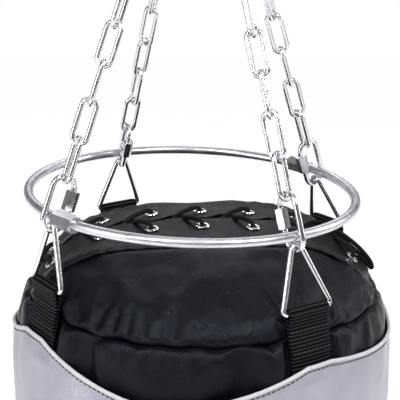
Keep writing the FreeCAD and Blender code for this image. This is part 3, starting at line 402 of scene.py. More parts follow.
class Nodes:
    """Short ways to add nodes to a tree."""

    def __init__(self, tree):
        self.tree = tree

    def node(self, kind, inputs=(), **settings):
        """A new node with its settings, and inputs given as (socket, value or output)."""
        made = self.tree.nodes.new("ShaderNode" + kind)
        for key, value in settings.items():
            setattr(made, key, value)
        for key, value in inputs:
            if isinstance(value, bpy.types.NodeSocket):
                self.tree.links.new(value, made.inputs[key])
            else:
                made.inputs[key].default_value = value
        return made

    def ramp(self, value, *stops):
        """Colours or greys by value: stops are (position, colour)."""
        made = self.node("ValToRGB", [("Fac", value)])
        elements = made.color_ramp.elements
        while len(elements) < len(stops):
            elements.new(0.5)
        for element, (position, colour) in zip(elements, stops):
            element.position = position
            element.color = (*colour, 1) if isinstance(colour, tuple) else (colour, colour, colour, 1)
        return made.outputs["Color"]

    def maths(self, operation, first, second=0.0):
        """One arithmetic step."""
        return self.node("Math", [(0, first), (1, second)], operation=operation).outputs[0]


class Material(Nodes):
    """A node material."""

    def __init__(self, name):
        self.data = bpy.data.materials.new(name)
        self.data.use_nodes = True
        super().__init__(self.data.node_tree)
        self.shader = self.tree.nodes["Principled BSDF"]
        self.place = self.node("TexCoord").outputs["Object"]

    def set(self, **values):
        """Set the shader's own sockets."""
        for key, value in values.items():
            self.shader.inputs[key.replace("_", " ")].default_value = value

    def link(self, output, socket):
        """Join an output to one of the shader's sockets."""
        self.tree.links.new(output, self.shader.inputs[socket])

    def noise(self, scale, detail=3.0, rough=0.55):
        """Fractal noise between 0 and 1."""
        return self.node("TexNoise", [("Vector", self.place), ("Scale", scale), ("Detail", detail),
                                      ("Roughness", rough)]).outputs["Fac"]

    def cells(self, scale):
        """Distance to the edges of small random cells."""
        return self.node("TexVoronoi", [("Vector", self.place), ("Scale", scale)],
                         feature="DISTANCE_TO_EDGE").outputs["Distance"]

    def cut(self):
        """The piece's own two surface coordinates, which are in metres on webbing."""
        place = self.node("TexCoord").outputs["UV"]
        return self.node("SeparateXYZ", [("Vector", place)]).outputs[:2]

    def bump(self, *layers):
        """Bumps one over another: each is (height, distance in metres, strength)."""
        normal = None
        for height, distance, strength in layers:
            inputs = [("Height", height), ("Distance", distance), ("Strength", strength)]
            if normal is not None:
                inputs.append(("Normal", normal))
            normal = self.node("Bump", inputs).outputs["Normal"]
        self.link(normal, "Normal")


def leatherette(name, light, mid, dark, rough_low, rough_high, metallic=0.0, specular=0.5, tint=(1, 1, 1)):
    """Coated fabric: fine pebbled grain, faint mottling and a soft sheen."""
    m = Material(name)
    m.set(Metallic=metallic, Specular_IOR_Level=specular, Specular_Tint=(*tint, 1))
    mottle = m.noise(26, 5, 0.6)
    m.link(m.ramp(mottle, (0.3, dark), (0.52, mid), (0.75, light)), "Base Color")
    m.link(m.ramp(m.noise(60, 4, 0.6), (0.3, rough_low), (0.7, rough_high)), "Roughness")
    grain = m.ramp(m.cells(950), (0.0, 0.0), (0.22, 0.8), (0.5, 1.0))
    m.bump((m.noise(190, 3, 0.6), 0.0006, 0.35), (grain, 0.00022, 0.55))
    return m.data


def webbing(name):
    """Ribbed polypropylene webbing: rows of picks across, each a little offset from the next; its colour
    has painted shade in the grooves and a painted highlight on the rib tops.
    """
    m = Material(name)
    across, along = m.cut()
    rib_pitch, pick_pitch, slant_pitch = 0.0029, 0.0018, 0.0046
    ribs = m.maths("SINE", m.maths("MULTIPLY", along, TAU / rib_pitch))
    slant = m.maths("MULTIPLY", along, TAU / slant_pitch)
    picks = m.maths("SINE", m.maths("ADD", m.maths("MULTIPLY", across, TAU / pick_pitch), slant))
    weave = m.maths("ADD", m.maths("MULTIPLY", ribs, 0.34), m.maths("MULTIPLY", picks, 0.16))
    height = m.maths("ADD", weave, 0.5)
    m.set(Specular_IOR_Level=0.05)
    # Base colour by the weave's height: painted shade in the grooves, painted highlight on the rib tops.
    m.link(m.ramp(height, (0.42, (0.0008, 0.0008, 0.0010)), (0.64, (0.006, 0.006, 0.008)),
                  (0.92, (0.040, 0.043, 0.052))), "Base Color")
    m.link(m.ramp(m.noise(300), (0.3, 0.5), (0.7, 0.68)), "Roughness")
    m.bump((height, 0.0006, 1.0), (m.noise(1500, 2), 0.0001, 0.4))
    return m.data


def zinc(name, light, dark, rough_low, rough_high, grain=0.25, scale=55):
    """Zinc plated steel: mottled brightness and fine pits."""
    m = Material(name)
    m.set(Metallic=1.0)
    patch = m.noise(scale, 6, 0.62)
    m.link(m.ramp(patch, (0.32, dark), (0.66, light)), "Base Color")
    m.link(m.ramp(m.noise(scale * 2.3, 5, 0.6), (0.3, rough_low), (0.7, rough_high)), "Roughness")
    m.bump((m.noise(420, 4, 0.7), 0.00025, grain), (m.noise(1400, 2), 0.00008, grain))
    return m.data


def cord_braid(name, painted_groove_shade, painted_crest_highlight, pitch):
    """Round braid: slanting strands crossing both ways, with painted shade in the grooves between strands
    and a painted highlight on their crests.
    """
    m = Material(name)
    along, round_it = m.cut()
    strands = 5
    turn = m.maths("MULTIPLY", round_it, TAU * strands)
    run = m.maths("MULTIPLY", along, TAU / pitch)
    one = m.maths("SINE", m.maths("ADD", turn, run))
    two = m.maths("SINE", m.maths("SUBTRACT", turn, run))
    height = m.maths("MAXIMUM", one, two)
    m.set(Specular_IOR_Level=0.2)
    # Base colour by the braid's height: painted shade in the grooves, painted highlight on the strand
    # crests.
    m.link(m.ramp(height, (0.0, painted_groove_shade), (0.9, painted_crest_highlight)), "Base Color")
    m.link(m.ramp(m.noise(900), (0.3, 0.6), (0.7, 0.8)), "Roughness")
    m.bump((height, 0.0003, 0.8), (m.noise(2400, 2), 0.0001, 0.5))
    return m.data


def plain(name, light, dark, rough, scale=300, bump=0.4):
    """A dense matt material with fine mottling: vinyl, thread, felt or lining."""
    m = Material(name)
    m.link(m.ramp(m.noise(scale, 4), (0.3, dark), (0.7, light)), "Base Color")
    m.link(m.ramp(m.noise(scale * 1.7, 3), (0.3, rough - 0.06), (0.7, rough + 0.08)), "Roughness")
    m.bump((m.noise(scale * 4, 3), 0.0002, bump))
    return m.data


BLACK = leatherette("black_leatherette", (0.0048, 0.0054, 0.0084), (0.0030, 0.0034, 0.0056),
                    (0.0018, 0.0021, 0.0036), 0.24, 0.36, specular=0.19, tint=(0.74, 0.82, 1.0))
SILVER = leatherette("silver_leatherette", (0.48, 0.485, 0.55), (0.41, 0.415, 0.48), (0.35, 0.355, 0.42),
                     0.28, 0.40, metallic=0.45)
WEBBING = webbing("webbing")
LACE = cord_braid("lace_braid", (0.0012, 0.0012, 0.0014), (0.006, 0.006, 0.007), 0.004)
CHAIN_ZINC = zinc("chain_zinc", (0.90, 0.91, 0.93), (0.68, 0.69, 0.72), 0.18, 0.32, grain=0.10)
LINK_ZINC = zinc("link_zinc", (0.90, 0.91, 0.93), (0.72, 0.73, 0.76), 0.16, 0.28, grain=0.08)
WIRE_ZINC = zinc("wire_zinc", (0.90, 0.91, 0.93), (0.72, 0.73, 0.76), 0.18, 0.30, grain=0.08)
HOOP_ZINC = zinc("hoop_zinc", (0.76, 0.77, 0.81), (0.56, 0.57, 0.62), 0.26, 0.42, grain=0.22, scale=48)
NUT_ZINC = zinc("nut_zinc", (0.74, 0.75, 0.79), (0.62, 0.63, 0.67), 0.24, 0.32, grain=0.02, scale=30)
SWIVEL_STEEL = zinc("swivel_steel", (0.74, 0.75, 0.78), (0.55, 0.56, 0.60), 0.24, 0.40)
NICKEL = zinc("nickel", (0.90, 0.89, 0.87), (0.80, 0.79, 0.77), 0.12, 0.20, grain=0.04, scale=90)
VINYL = plain("grey_vinyl", (0.60, 0.61, 0.62), (0.50, 0.51, 0.52), 0.42)
THREAD = plain("black_thread", (0.030, 0.030, 0.032), (0.014, 0.014, 0.015), 0.45, 900)
LINING = plain("black_lining", (0.006, 0.006, 0.007), (0.002, 0.002, 0.003), 0.8, 500)
FELT = plain("grey_felt", (0.30, 0.30, 0.31), (0.18, 0.18, 0.19), 0.9, 160, 0.9)
SHREDS = plain("textile_shreds", (0.50, 0.46, 0.40), (0.28, 0.30, 0.33), 0.92, 40, 1.0)


def wear(piece, material):
    """Give a piece its material."""
    piece.data.materials.clear()
    piece.data.materials.append(material)


def join_bag(piece, material, slot, *nodes):
    """Finish one soft piece: material, body and the CAD nodes it stands for. The slot is not used."""
    wear(piece, material)
    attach(piece, "bag")
    if nodes:
        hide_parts(*nodes)


def cover(piece, material, slot, node, divide=True):
    """Finish one skin of the bag: a smooth subdivision and its thickness, on the inner side."""
    if divide:
        modifier = piece.modifiers.new("smooth", "SUBSURF")
        modifier.levels = 1
        modifier.render_levels = 1
    solid = piece.modifiers.new("sheet", "SOLIDIFY")
    solid.thickness = SHEET
    solid.offset = -1.0
    solid.use_rim = True
    join_bag(piece, material, slot, node)


def piping(name, line, node):
    """A round cord that goes all the way round the bag on a line of points."""
    sides = 12
    _, up, side = frames_along(line, normals_on(line), True)
    angle = np.arange(sides) * TAU / sides
    ring = np.cos(angle)[None, :, None] * up[:, None, :] + np.sin(angle)[None, :, None] * side[:, None, :]
    points = line[:, None, :] + PIPING * ring
    cord = finish_mesh(name, points.reshape(-1, 3), section_faces(len(line), sides, closed=True))
    join_bag(cord, VINYL, "piping_grey", node)


def sew(name, line, slot):
    """A row of stitches along a line on the bag."""
    join_bag(stitches(name, line, normals_on(line)), THREAD, slot)


# -------------------- cloth simulation

def ironed(change, closed):
    """Even out the finest creases of a sheet's movement, over its rows and columns."""
    for _ in range(IRON_PASSES):
        change[1:-1] = (change[:-2] + 2 * change[1:-1] + change[2:]) / 4
        if closed:
            change = (np.roll(change, 1, 1) + 2 * change + np.roll(change, -1, 1)) / 4
        else:
            change[:, 1:-1] = (change[:, :-2] + 2 * change[:, 1:-1] + change[:, 2:]) / 4
    return change


def simulated(piece, points):
    """Places of a piece's points after the cloth simulation, which is then taken off the piece."""
    cloth = piece.modifiers.new("cloth", "CLOTH")
    for key, value in CLOTH.items():
        setattr(cloth.settings, key, value)
    cloth.settings.effector_weights.gravity = 0
    cloth.collision_settings.use_collision = False
    cloth.point_cache.frame_end = GATHER_FRAMES
    for step in range(1, GATHER_FRAMES + 1):
        bpy.context.scene.frame_set(step)
    shape = piece.evaluated_get(bpy.context.evaluated_depsgraph_get())
    moved = np.empty(points.size, np.float32)
    shape.data.vertices.foreach_get("co", moved)
    piece.modifiers.remove(cloth)
    bpy.context.scene.frame_set(1)
    return moved.reshape(-1, 3)


def gather(piece, points, spare, pinned, closed=False):
    """Let a sheet buckle by cloth simulation: spare says where the fabric is longer than its place.

    points is the sheet's (rows, columns) grid, spare a weight for each of its points, and
    pinned marks the rows that are sewn down.  No point moves further than the cap.  A closed
    sheet goes all the way round.
    """
    rows_and_columns = points.shape[:2]
    hold = piece.vertex_groups.new(name="hold")
    held = np.nonzero(np.broadcast_to(pinned, rows_and_columns).ravel())[0]
    hold.add([int(index) for index in held], 1.0, "REPLACE")
    loose = piece.vertex_groups.new(name="spare")
    for index, weight in enumerate(np.broadcast_to(spare, rows_and_columns).ravel()):
        loose.add([index], 1 - float(weight), "REPLACE")
    change = simulated(piece, points) - points.reshape(-1, 3)
    length = np.linalg.norm(change, axis=1)
    change *= np.minimum(1, GATHER_CAP / np.maximum(length, 1e-9))[:, None]
    final = (points + ironed(change.reshape(points.shape), closed)).astype(np.float32)
    piece.data.vertices.foreach_set("co", final.ravel())
    piece.vertex_groups.clear()
    piece.data.update()


# -------------------- the bag's top

def panel(name, front, node):
    """One crowned top panel, from under its flap to the seam, gathered along the seam."""
    lap = 0.005
    rows, columns = 44, 320
    inside = FLAP_HALF - lap
    corner = math.asin(inside / 0.147) - 0.02
    azimuth = np.linspace(corner, math.pi - corner, columns)
    if front:
        azimuth = -azimuth[::-1]
    inside = flap_half(inside / np.tan(np.abs(azimuth)), front) - lap
    edge = arc_at_radius(np.minimum(inside / np.abs(np.sin(azimuth)), 0.146))
    seam = seam_arc(azimuth)
    share = 1 - (1 - np.linspace(0, 1, rows)[:, None]) ** 1.15
    arc = edge + (seam - edge) * share
    from_seam = seam - arc
    from_edge = arc - edge
    lift = fullness(azimuth, arc)
    lift = lift - 0.0010 * (1 - smooth(from_edge, 0.002, 0.016))
    lift = lift + 0.0019 * folds(azimuth, from_seam, 0.030, 21 if front else 61)
    lift = lift - 0.0030 * np.exp(-(from_seam / 0.0022) ** 2) + 0.0008 * hump(from_seam, 0.006, 0.003)
    points = press_straps(on_bag(azimuth, arc, lift), 0.0018)
    piece = grid(name, points)
    row = np.arange(rows)[:, None]
    spare = np.exp(-(from_seam / 0.020) ** 2) * (0.55 + 0.45 * waves(azimuth, 3, 9, 6, 15)).clip(0, 1)
    gather(piece, points, spare, (row < 3) | (row >= rows - 1))
    cover(piece, BLACK, "black_leatherette", node)


def shoulder():
    """The gathered band between the seam and the silver panels."""
    rows, columns = 32, 480
    azimuth = np.linspace(0, TAU, columns, endpoint=False)
    seam = seam_arc(azimuth)
    low = arc_at_depth(np.full_like(azimuth, BAND_DROP))
    arc = seam + (low - seam) * np.linspace(0, 1, rows)[:, None] ** 1.1
    from_seam = arc - seam
    lift = fullness(azimuth, arc)
    lift = lift + 0.0021 * folds(azimuth, from_seam, 0.036, 33)
    lift = lift - 0.0030 * np.exp(-(from_seam / 0.0022) ** 2) + 0.0009 * hump(from_seam, 0.007, 0.004)
    lift = lift * (1 - smooth(arc, 0.215, 0.24))
    points = press_straps(on_bag(azimuth, arc, lift), 0.0018)
    piece = grid("shoulder_skin", points, wrap=True)
    row = np.arange(rows)[:, None]
    spare = np.exp(-(from_seam / 0.026) ** 2) * (0.6 + 0.4 * waves(azimuth, 3, 9, 6, 16)).clip(0, 1)
    gather(piece, points, spare, (row < 1) | (row >= rows - 4), closed=True)
    cover(piece, BLACK, "black_leatherette", "shoulder_band")


def flap_point(x, y, lift):
    """Points of the laced flaps at plan positions, with the top's fullness under them."""
    azimuth = np.arctan2(y, x)
    arc = arc_at_radius(np.hypot(x, y))
    return on_bag(azimuth, arc, fullness(azimuth, arc) + lift)


def flap_half(x, front):
    """Half width of the laced band: the front flap narrows towards its right-hand end."""
    return FLAP_HALF - (0.0085 * smooth(x, 0.055, 0.128) if front else 0.0)


def flap_lift(x, from_slit, from_edge):
    """Height of a flap over the form: sewn hem, puckers between eyelets, curled slit edge."""
    hem = 0.0006 * hump(from_edge, 0.006, 0.0028)
    rows = -0.0005 * sum(hump(from_edge, inset, 0.0006) for inset in FLAP_ROWS.values())
    between = 0.5 - 0.5 * np.cos(TAU * x / EYELET_PITCH)
    curl = 0.0026 * between * np.exp(-from_slit / 0.009)
    pucker = 0.0005 * np.sin(TAU * x / 0.0125 + 1.5 * np.sin(x * 60)) * hump(from_edge, 0.006, 0.006)
    return hem + rows + curl + pucker - 0.0004


def lap_lift(y):
    """A flap's outer edge lies over the top panel's edge."""
    return 0.0012 * smooth(y, 0.045, 0.062)


def under_eyelets(x, y, lift):
    """Hold a flap flat under each eyelet's flange."""
    pair = np.clip(np.round(x / EYELET_PITCH), -(EYELET_PAIRS // 2), EYELET_PAIRS // 2)
    away = np.hypot(x - pair * EYELET_PITCH, y - EYELET_ROW)
    free = smooth(away, 0.0068, 0.0125)
    return lift * free - 0.0009 * (1 - free)


def slit_edge(x):
    """The slit opens a little between eyelets, where no strand draws it together."""
    return 0.0034 - 0.0018 * np.cos(TAU * x / EYELET_PITCH) + 0.0006 * np.sin(x * 95)


def flap(name, front, node):
    """One laced flap with its hem, and the two rows of stitches along its outer edge."""
    sign = -1 if front else 1
    across = np.linspace(0, 1, 44)[:, None]
    run = np.linspace(-1, 1, 300)[None, :]
    plan = outline(np.abs(run) * arc_at_radius(FLAP_END))[0] / FLAP_END * np.sign(run)
    rough_x = plan * FLAP_END
    inner = slit_edge(rough_x)
    y = inner + (flap_half(rough_x, front) - inner) * across
    x = plan * np.sqrt(FLAP_END ** 2 - y ** 2)
    lift = flap_lift(x, y - inner, flap_half(x, front) - y) + lap_lift(y)
    points = flap_point(x, sign * y, under_eyelets(x, y, lift))
    if front:
        points = points[::-1]
    piece = grid(name, points[:, ::-1])
    cover(piece, BLACK, "black_leatherette", node)
    for row, inset in FLAP_ROWS.items():
        x_row = np.linspace(-0.127, 0.127, 260)
        y_row = flap_half(x_row, front) - inset
        height = flap_lift(x_row, y_row - slit_edge(x_row), inset) + lap_lift(y_row)
        line = flap_point(x_row, sign * y_row, height + 0.00015)
        sew(name + "_stitch_" + row, line, "black_leatherette")


def border_depth(azimuth):
    """Depth of the silver panels' top edge: it hangs in swags from strap to strap."""
    names = list(CORNERS)
    depth = np.zeros_like(azimuth)
    for name, following in zip(names, names[1:] + names[:1]):
        high, sag, hold = SWAGS[name]
        start, end = math.radians(CORNERS[name][0]), math.radians(CORNERS[following][0])
        span = (end - start) % TAU
        t = ((azimuth - start) % TAU) / span
        inside = t <= 1
        free = np.clip((t - hold / span) / (1 - 2 * hold / span), 0, 1)
        swag = high + (SWAGS[following][0] - high) * t + sag * span * (1 - np.abs(2 * free - 1) ** 1.4)
        depth = np.where(inside, swag, depth)
    return depth


def silver_lift(azimuth, arc, border):
    """How far the silver cover stands off the form: close at its border, over foam below."""
    below = arc - border
    lift = 0.0032 + 0.0019 * smooth(arc, 0.19, 0.225)
    lift = lift + fullness(azimuth, arc) * 0.8
    wrinkle = 0.0011 * waves(azimuth, 14, 30, 8, 71) * np.exp(-(below / 0.05) ** 2)
    wrinkle = wrinkle * below / (below + 0.006)
    sweep = 0.0007 * np.sin(azimuth * 9 + below * 60) * hump(below, 0.06, 0.04)
    return lift + wrinkle + sweep


def silver(name, start, end, node):
    """One silver panel, from its swagged border down to the waist."""
    azimuth = np.linspace(start, end, 300)
    border = arc_at_depth(border_depth(azimuth))
    low = arc_at_depth(WAIST_DROP)
    share = np.linspace(0, 1, 84)[:, None] ** 1.15
    arc = border + (low - border) * share
    points = on_bag(azimuth, arc, silver_lift(azimuth, arc, border))
    points = press_straps(points, 0.0030, outside=True)
    piece = grid(name, points)
    cover(piece, SILVER, "silver_leatherette", node)


def silver_trim():
    """Piping along the silver border, its dark stitch line and the two side seams."""
    azimuth = np.linspace(0, TAU, 720, endpoint=False)
    border = arc_at_depth(border_depth(azimuth))

    def along_border(drop, lift):
        line = on_bag(azimuth, border + drop, silver_lift(azimuth, border + drop, border) + lift)
        return press_straps(line, 0.0032, outside=True)

    piping("border_piping_cord", along_border(0.0, 0.0004), "border_piping")
    line = along_border(0.0031, 0.0002)
    sew("border_stitches", np.vstack([line, line[:1]]), "silver_leatherette")
    for name, middle in (("front", -math.pi / 2), ("rear", math.pi / 2)):
        top = border_depth(np.array([middle]))[0] + 0.006
        arc = arc_at_depth(np.linspace(top, WAIST_DROP - 0.004, 60))
        for word, side in SEAM_SIDES:
            turn = np.full_like(arc, middle + side * SIDE_SEAM_HALF / OUTER_RADIUS)
            line = on_bag(turn, arc, silver_lift(turn, arc, arc[:1]) + 0.0002)
            sew("silver_seam_%s_%s" % (name, word), line, "silver_leatherette")


def filling_core():
    """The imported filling: one closed lumpy form, everywhere under the skins and the tongue."""
    azimuth = np.linspace(0, TAU, 160, endpoint=False)
    arc = np.linspace(0.004, arc_at_depth(BOTTOM_DROP - 0.030), 260)[:, None]
    radius = outline(arc)[0]
    under_slit = 1 - smooth(np.abs(radius * np.sin(azimuth)), 0.028, 0.045)
    lumps = 0.0012 * waves(azimuth + 3 * np.sin(arc * 21), 3, 9, 6, 5) * smooth(radius, 0.02, 0.08)
    lift = -0.0125 - 0.0045 * under_slit * (1 - smooth(arc, 0.17, 0.20)) + lumps
    points = on_bag(azimuth, arc, lift)
    rows, columns, _ = points.shape
    faces = sheet_faces(rows, columns, columns)
    faces.append(tuple(range(columns))[::-1])
    faces.append(tuple((rows - 1) * columns + column for column in range(columns)))
    piece = finish_mesh("filling_core", points.reshape(-1, 3), faces)
    join_bag(piece, SHREDS, "textile_filling", "filling")


# -------------------- lower covers

def lower_cover():
    """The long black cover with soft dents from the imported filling, its seam and the waist piping."""
    azimuth = np.linspace(0, TAU, 360, endpoint=False)
    top = SILVER_LOW - 0.0024
    low = LEVEL - BOTTOM_DROP + 0.0115
    height = np.linspace(top, low, 150)[:, None]
    from_top, from_low = top - height, height - low
    seam = 0.0011 * (folds(azimuth, from_top, 0.040, 91) + folds(azimuth, from_low, 0.045, 97))
    dents = 0.0013 * waves(azimuth + 0.5 * np.sin(height * 14), 3, 8, 6, 77)
    dents = dents * np.sin(height * 19 + 2 * azimuth)
    bands = 0.0007 * np.sin(height * 46 + 1.4 * np.sin(azimuth * 2)) + 0.0004 * waves(azimuth, 9, 17, 6, 78)
    calm = smooth(from_top, 0.0, 0.03) * smooth(from_low, 0.0, 0.03)
    radius = np.maximum(OUTER_RADIUS + 0.0009 * calm + seam + (dents + bands) * calm, OUTER_RADIUS - 0.0009)
    radius = radius - 0.0016 * (np.exp(-(from_top / 0.003) ** 2) + np.exp(-(from_low / 0.003) ** 2))
    points = around(azimuth, radius, height)
    piece = grid("main_cover_skin", points, wrap=True)
    cover(piece, BLACK, "black_leatherette", "main_cover")
    for word, side in SEAM_SIDES:
        turn = math.pi / 2 + side * SIDE_SEAM_HALF / OUTER_RADIUS
        column = int(round(turn / TAU * len(azimuth)))
        out = np.array([math.cos(azimuth[column]), math.sin(azimuth[column]), 0])
        sew("cover_seam_" + word, points[4:-4, column] + out * 0.0002, "black_leatherette")
    waist = around(np.linspace(0, TAU, 480, endpoint=False), OUTER_RADIUS, SILVER_LOW - 1.1 * PIPING)
    piping("waist_piping_cord", waist, "waist_piping")


def bottom():
    """The round base, gathered into the cover along its rim, with a ring of stitches."""
    azimuth = np.linspace(0, TAU, 360, endpoint=False)
    base = LEVEL - BOTTOM_DROP
    rim = 0.011
    flat = OUTER_RADIUS - rim
    bend = np.linspace(0, math.pi / 2, 12)
    level_rings = np.linspace(0.02, flat, 30)[:-1]
    spread = np.r_[level_rings, flat + rim * np.sin(bend)]
    rise = np.r_[np.zeros_like(level_rings), rim * (1 - np.cos(bend))]
    radius, height = spread[::-1, None], base + rise[::-1, None]
    from_rim = OUTER_RADIUS - radius
    height = height + 0.0006 * (folds(azimuth, from_rim, 0.05, 55) + 1) * smooth(from_rim, 0.0, 0.012)
    height = height + 0.0012 * smooth(radius, 0.15, 0.0)
    points = around(azimuth, radius, height)
    hub = around(azimuth, 0.004, points[-1, 0, 2])
    points = np.concatenate([points, hub[None]])
    rows, columns, _ = points.shape
    faces = sheet_faces(rows, columns, columns)
    faces.append(tuple((rows - 1) * columns + j for j in range(columns)))
    piece = finish_mesh("bottom_skin", points.reshape(-1, 3), faces)
    cover(piece, BLACK, "black_leatherette", "bottom_panel", divide=False)
    sewn_ring = 9
    line = np.vstack([points[sewn_ring], points[sewn_ring, :1]])
    down = np.tile([0.0, 0.0, -1.0], (len(line), 1))
    join_bag(stitches("bottom_stitches", line, down), THREAD, "black_leatherette")


# -------------------- straps and lace

def arc_points(centre, radius, start, end, count):
    """Points (radius, height) on an arc about a centre."""
    angles = np.linspace(start, end, count)
    return np.column_stack([centre[0] + radius * np.cos(angles), centre[1] + radius * np.sin(angles)])


def eased(points):
    """An evenly spaced line through (radius, height) points, with its corners eased."""
    step, passes = 0.0006, 40
    lengths = lengths_along(points)
    at = np.linspace(0, lengths[-1], int(lengths[-1] / step))
    line = np.column_stack([np.interp(at, lengths, points[:, k]) for k in range(2)])
    for _ in range(passes):
        line[1:-1] = (line[:-2] + 2 * line[1:-1] + line[2:]) / 4
    return line


def strap_path(bar, meet, landing, end, tail_top, tail_end):
    """The webbing's middle line in (radius, height): up the tail, over the bar and down the side."""
    over = arc_points(bar, STRAP_LOOP, -0.35, math.pi + 0.35, 24)
    line = eased(np.vstack([tail_end, tail_top, over, meet, landing, end]))
    away = np.linalg.norm(line - bar, axis=1)
    near = away < STRAP_LOOP
    line[near] = bar + (line[near] - bar) / away[near, None] * STRAP_LOOP
    return line


def ribbon(name, points, run, girth):
    """A closed form through (stations, points of the section), with its lengths as the cut."""
    count, sides, _ = points.shape
    uv = []
    for i in range(count - 1):
        for k in range(sides):
            uv += [(girth[k], run[i]), (girth[k + 1], run[i])]
            uv += [(girth[k + 1], run[i + 1]), (girth[k], run[i + 1])]
    uv += [(0.0, run[0])] * sides + [(0.0, run[-1])] * sides
    return finish_mesh(name, points.reshape(-1, 3), section_faces(count, sides), uv)


def strap(corner):
    """One webbing strap: its tail folded out over the base bar and sewn, the long ply going down."""
    azimuth, bar_depth = CORNERS[corner]
    bar = np.array([BAR_RADIUS, LEVEL - bar_depth])
    meet = bar - np.array([0, 0.0116])
    landing = np.array([STRAP_SIDE, LEVEL - STRAP_LANDING])
    end = np.array([STRAP_SIDE, LEVEL - STRAP_END])
    fall = (landing - meet) / np.linalg.norm(landing - meet)
    outward = np.array([-fall[1], fall[0]])
    tail_top = meet + outward * STRAP_THICK * 1.02
    line = strap_path(bar, meet, landing, end, tail_top, tail_top + fall * STRAP_TAIL)
    along = np.gradient(line, axis=0)
    along = along / np.linalg.norm(along, axis=1)[:, None]
    normal = np.column_stack([along[:, 1], -along[:, 0]])
    v = np.linspace(-1, 1, 21)
    top = np.column_stack([v * STRAP_WIDTH / 2, STRAP_THICK / 2 * (1 - 0.55 * np.abs(v) ** 10)])
    section = np.vstack([top, top[::-1] * [1, -1]])
    out, side = directions(azimuth)
    bow = smooth(LEVEL - line[:, 1], bar_depth + 0.006, bar_depth + 0.05)
    lateral = section[None, :, 0]
    proud = normal[:, None, :] * section[None, :, 1:]
    radial = line[:, None, 0] + proud[..., 0] - bow[:, None] * lateral ** 2 / (2 * SIDE_RADIUS)
    height = line[:, None, 1] + proud[..., 1]
    points = radial[..., None] * out + lateral[..., None] * side + height[..., None] * np.array([0, 0, 1.0])
    girth = lengths_along(section)
    girth = np.r_[girth, girth[-1] + STRAP_THICK]
    piece = ribbon("webbing_" + corner, points, lengths_along(line), girth)
    join_bag(piece, WEBBING, "webbing_black", "strap_" + corner)
    stitch_box(corner, out, side, tail_top, fall, outward)


def stitch_box(corner, out, side, top, fall, outward):
    """Rows of thread that sew the strap's tail down across its width."""
    for index, down in enumerate((0.0035, 0.0195)):
        place = top + fall * down + outward * (STRAP_THICK / 2 + 0.0001)
        across = np.linspace(-0.44, 0.44, 12) * STRAP_WIDTH
        line = place[0] * out + across[:, None] * side + np.array([0, 0, place[1]])
        normals = np.tile(outward[0] * out + np.array([0, 0, outward[1]]), (len(line), 1))
        join_bag(stitches("strap_sewing_%s_%d" % (corner, index), line, normals, 0.0034), THREAD,
                 "webbing_black")


def form_point(x, y, lift):
    """A point over the plain form at a plan position."""
    azimuth = math.atan2(y, x)
    return on_bag(azimuth, arc_at_radius(math.hypot(x, y)), lift)


def strand(row):
    """One strand's route: up an eyelet, over to the slit, under the other flap to the next pair."""
    dive = 0.0034
    half = EYELET_PAIRS // 2
    route = []
    for pair in range(half, -half - 1, -1):
        x, y = pair * EYELET_PITCH, row * EYELET_ROW
        entry = 0.018 if row < 0 else 0.025
        if pair == -half:
            entry -= 0.014
        slope = entry / abs(y)
        route.append(form_point(x, y, LACE_UNDER))
        route.append(form_point(x, y, LACE_OVER + 0.0022))
        route.append(form_point(x - entry + slope * dive, row * dive, LACE_OVER))
        route.append(form_point(x - entry - slope * dive, -row * dive, LACE_UNDER))
        row = -row
    return route


def lace_curve(name, route):
    """One length of lace on a smooth spline through a route's corners."""
    curve = bpy.data.curves.new(name, "CURVE")
    curve.dimensions = "3D"
    spline = curve.splines.new("NURBS")
    spline.points.add(len(route) - 1)
    for point, place in zip(spline.points, route):
        point.co = (*place, 1)
    spline.order_u = 3
    spline.use_endpoint_u = True
    spline.resolution_u = 10
    curve.bevel_depth = LACE_RADIUS
    curve.bevel_resolution = 3
    curve.use_fill_caps = True
    piece = bpy.data.objects.new(name, curve)
    bpy.context.scene.collection.objects.link(piece)
    curve.materials.append(LACE)
    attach(piece, "bag")
    return piece


def lace():
    """The lace on one smooth line, in at the right-hand pair and out to its hidden knot."""
    piece = lace_curve("lace_cord", list(reversed(strand(-1))) + strand(1))
    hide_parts("lace")


def lace_tail():
    """A doubled end of lace that comes out of the slit and lies along its right-hand end."""
    out = ((0.086, 0.001, -0.0035), (0.097, 0.002, 0.0042), (0.118, 0.003, 0.0032),
           (0.138, 0.003, 0.0032), (0.1465, 0.003, 0.0032), (0.1490, 0.003, 0.0052))
    back = ((0.1445, 0.003, 0.0074), (0.131, 0.003, 0.0070), (0.110, 0.003, 0.0070),
            (0.096, 0.003, 0.0066), (0.088, 0.001, -0.0035))
    lace_curve("lace_tail", [form_point(*place) for place in out + back])


# -------------------- CAD hardware

def dress_hardware():
    """Materials for the steel and the hidden inner pieces that keep their CAD shape."""
    slots = {
        "swivel_steel": SWIVEL_STEEL,
        "link_zinc": LINK_ZINC,
        "chain_zinc": CHAIN_ZINC,
        "triangle_zinc": WIRE_ZINC,
        "hoop_zinc": HOOP_ZINC,
        "coupler_zinc": NUT_ZINC,
        "eyelet_nickel": NICKEL,
        "lining_black": LINING,
        "foam_grey": FELT,
        "textile_filling": SHREDS,
        "lace_black": LACE,
    }
    for row in frame["record"]["subparts"]:
        piece = frame["nodes"][row["node"]]
        if row["material_slot"] in slots and not piece.hide_render:
            nut = row["node"].startswith(("quick_link_nut", "top_quick_link_nut"))
            wear(piece, NUT_ZINC if nut else slots[row["material_slot"]])


# -------------------- light and camera

def area_light(name, place, size, power):
    """One soft rectangular light aimed at the hoop's middle."""
    data = bpy.data.lights.new(name, "AREA")
    data.shape = "RECTANGLE"
    data.size, data.size_y = size
    data.energy = power
    lamp = bpy.data.objects.new(name, data)
    lamp.location = place
    aim = Vector((0, 0, LEVEL)) - Vector(place)
    lamp.rotation_euler = aim.to_track_quat("-Z", "Y").to_euler()
    bpy.context.scene.collection.objects.link(lamp)


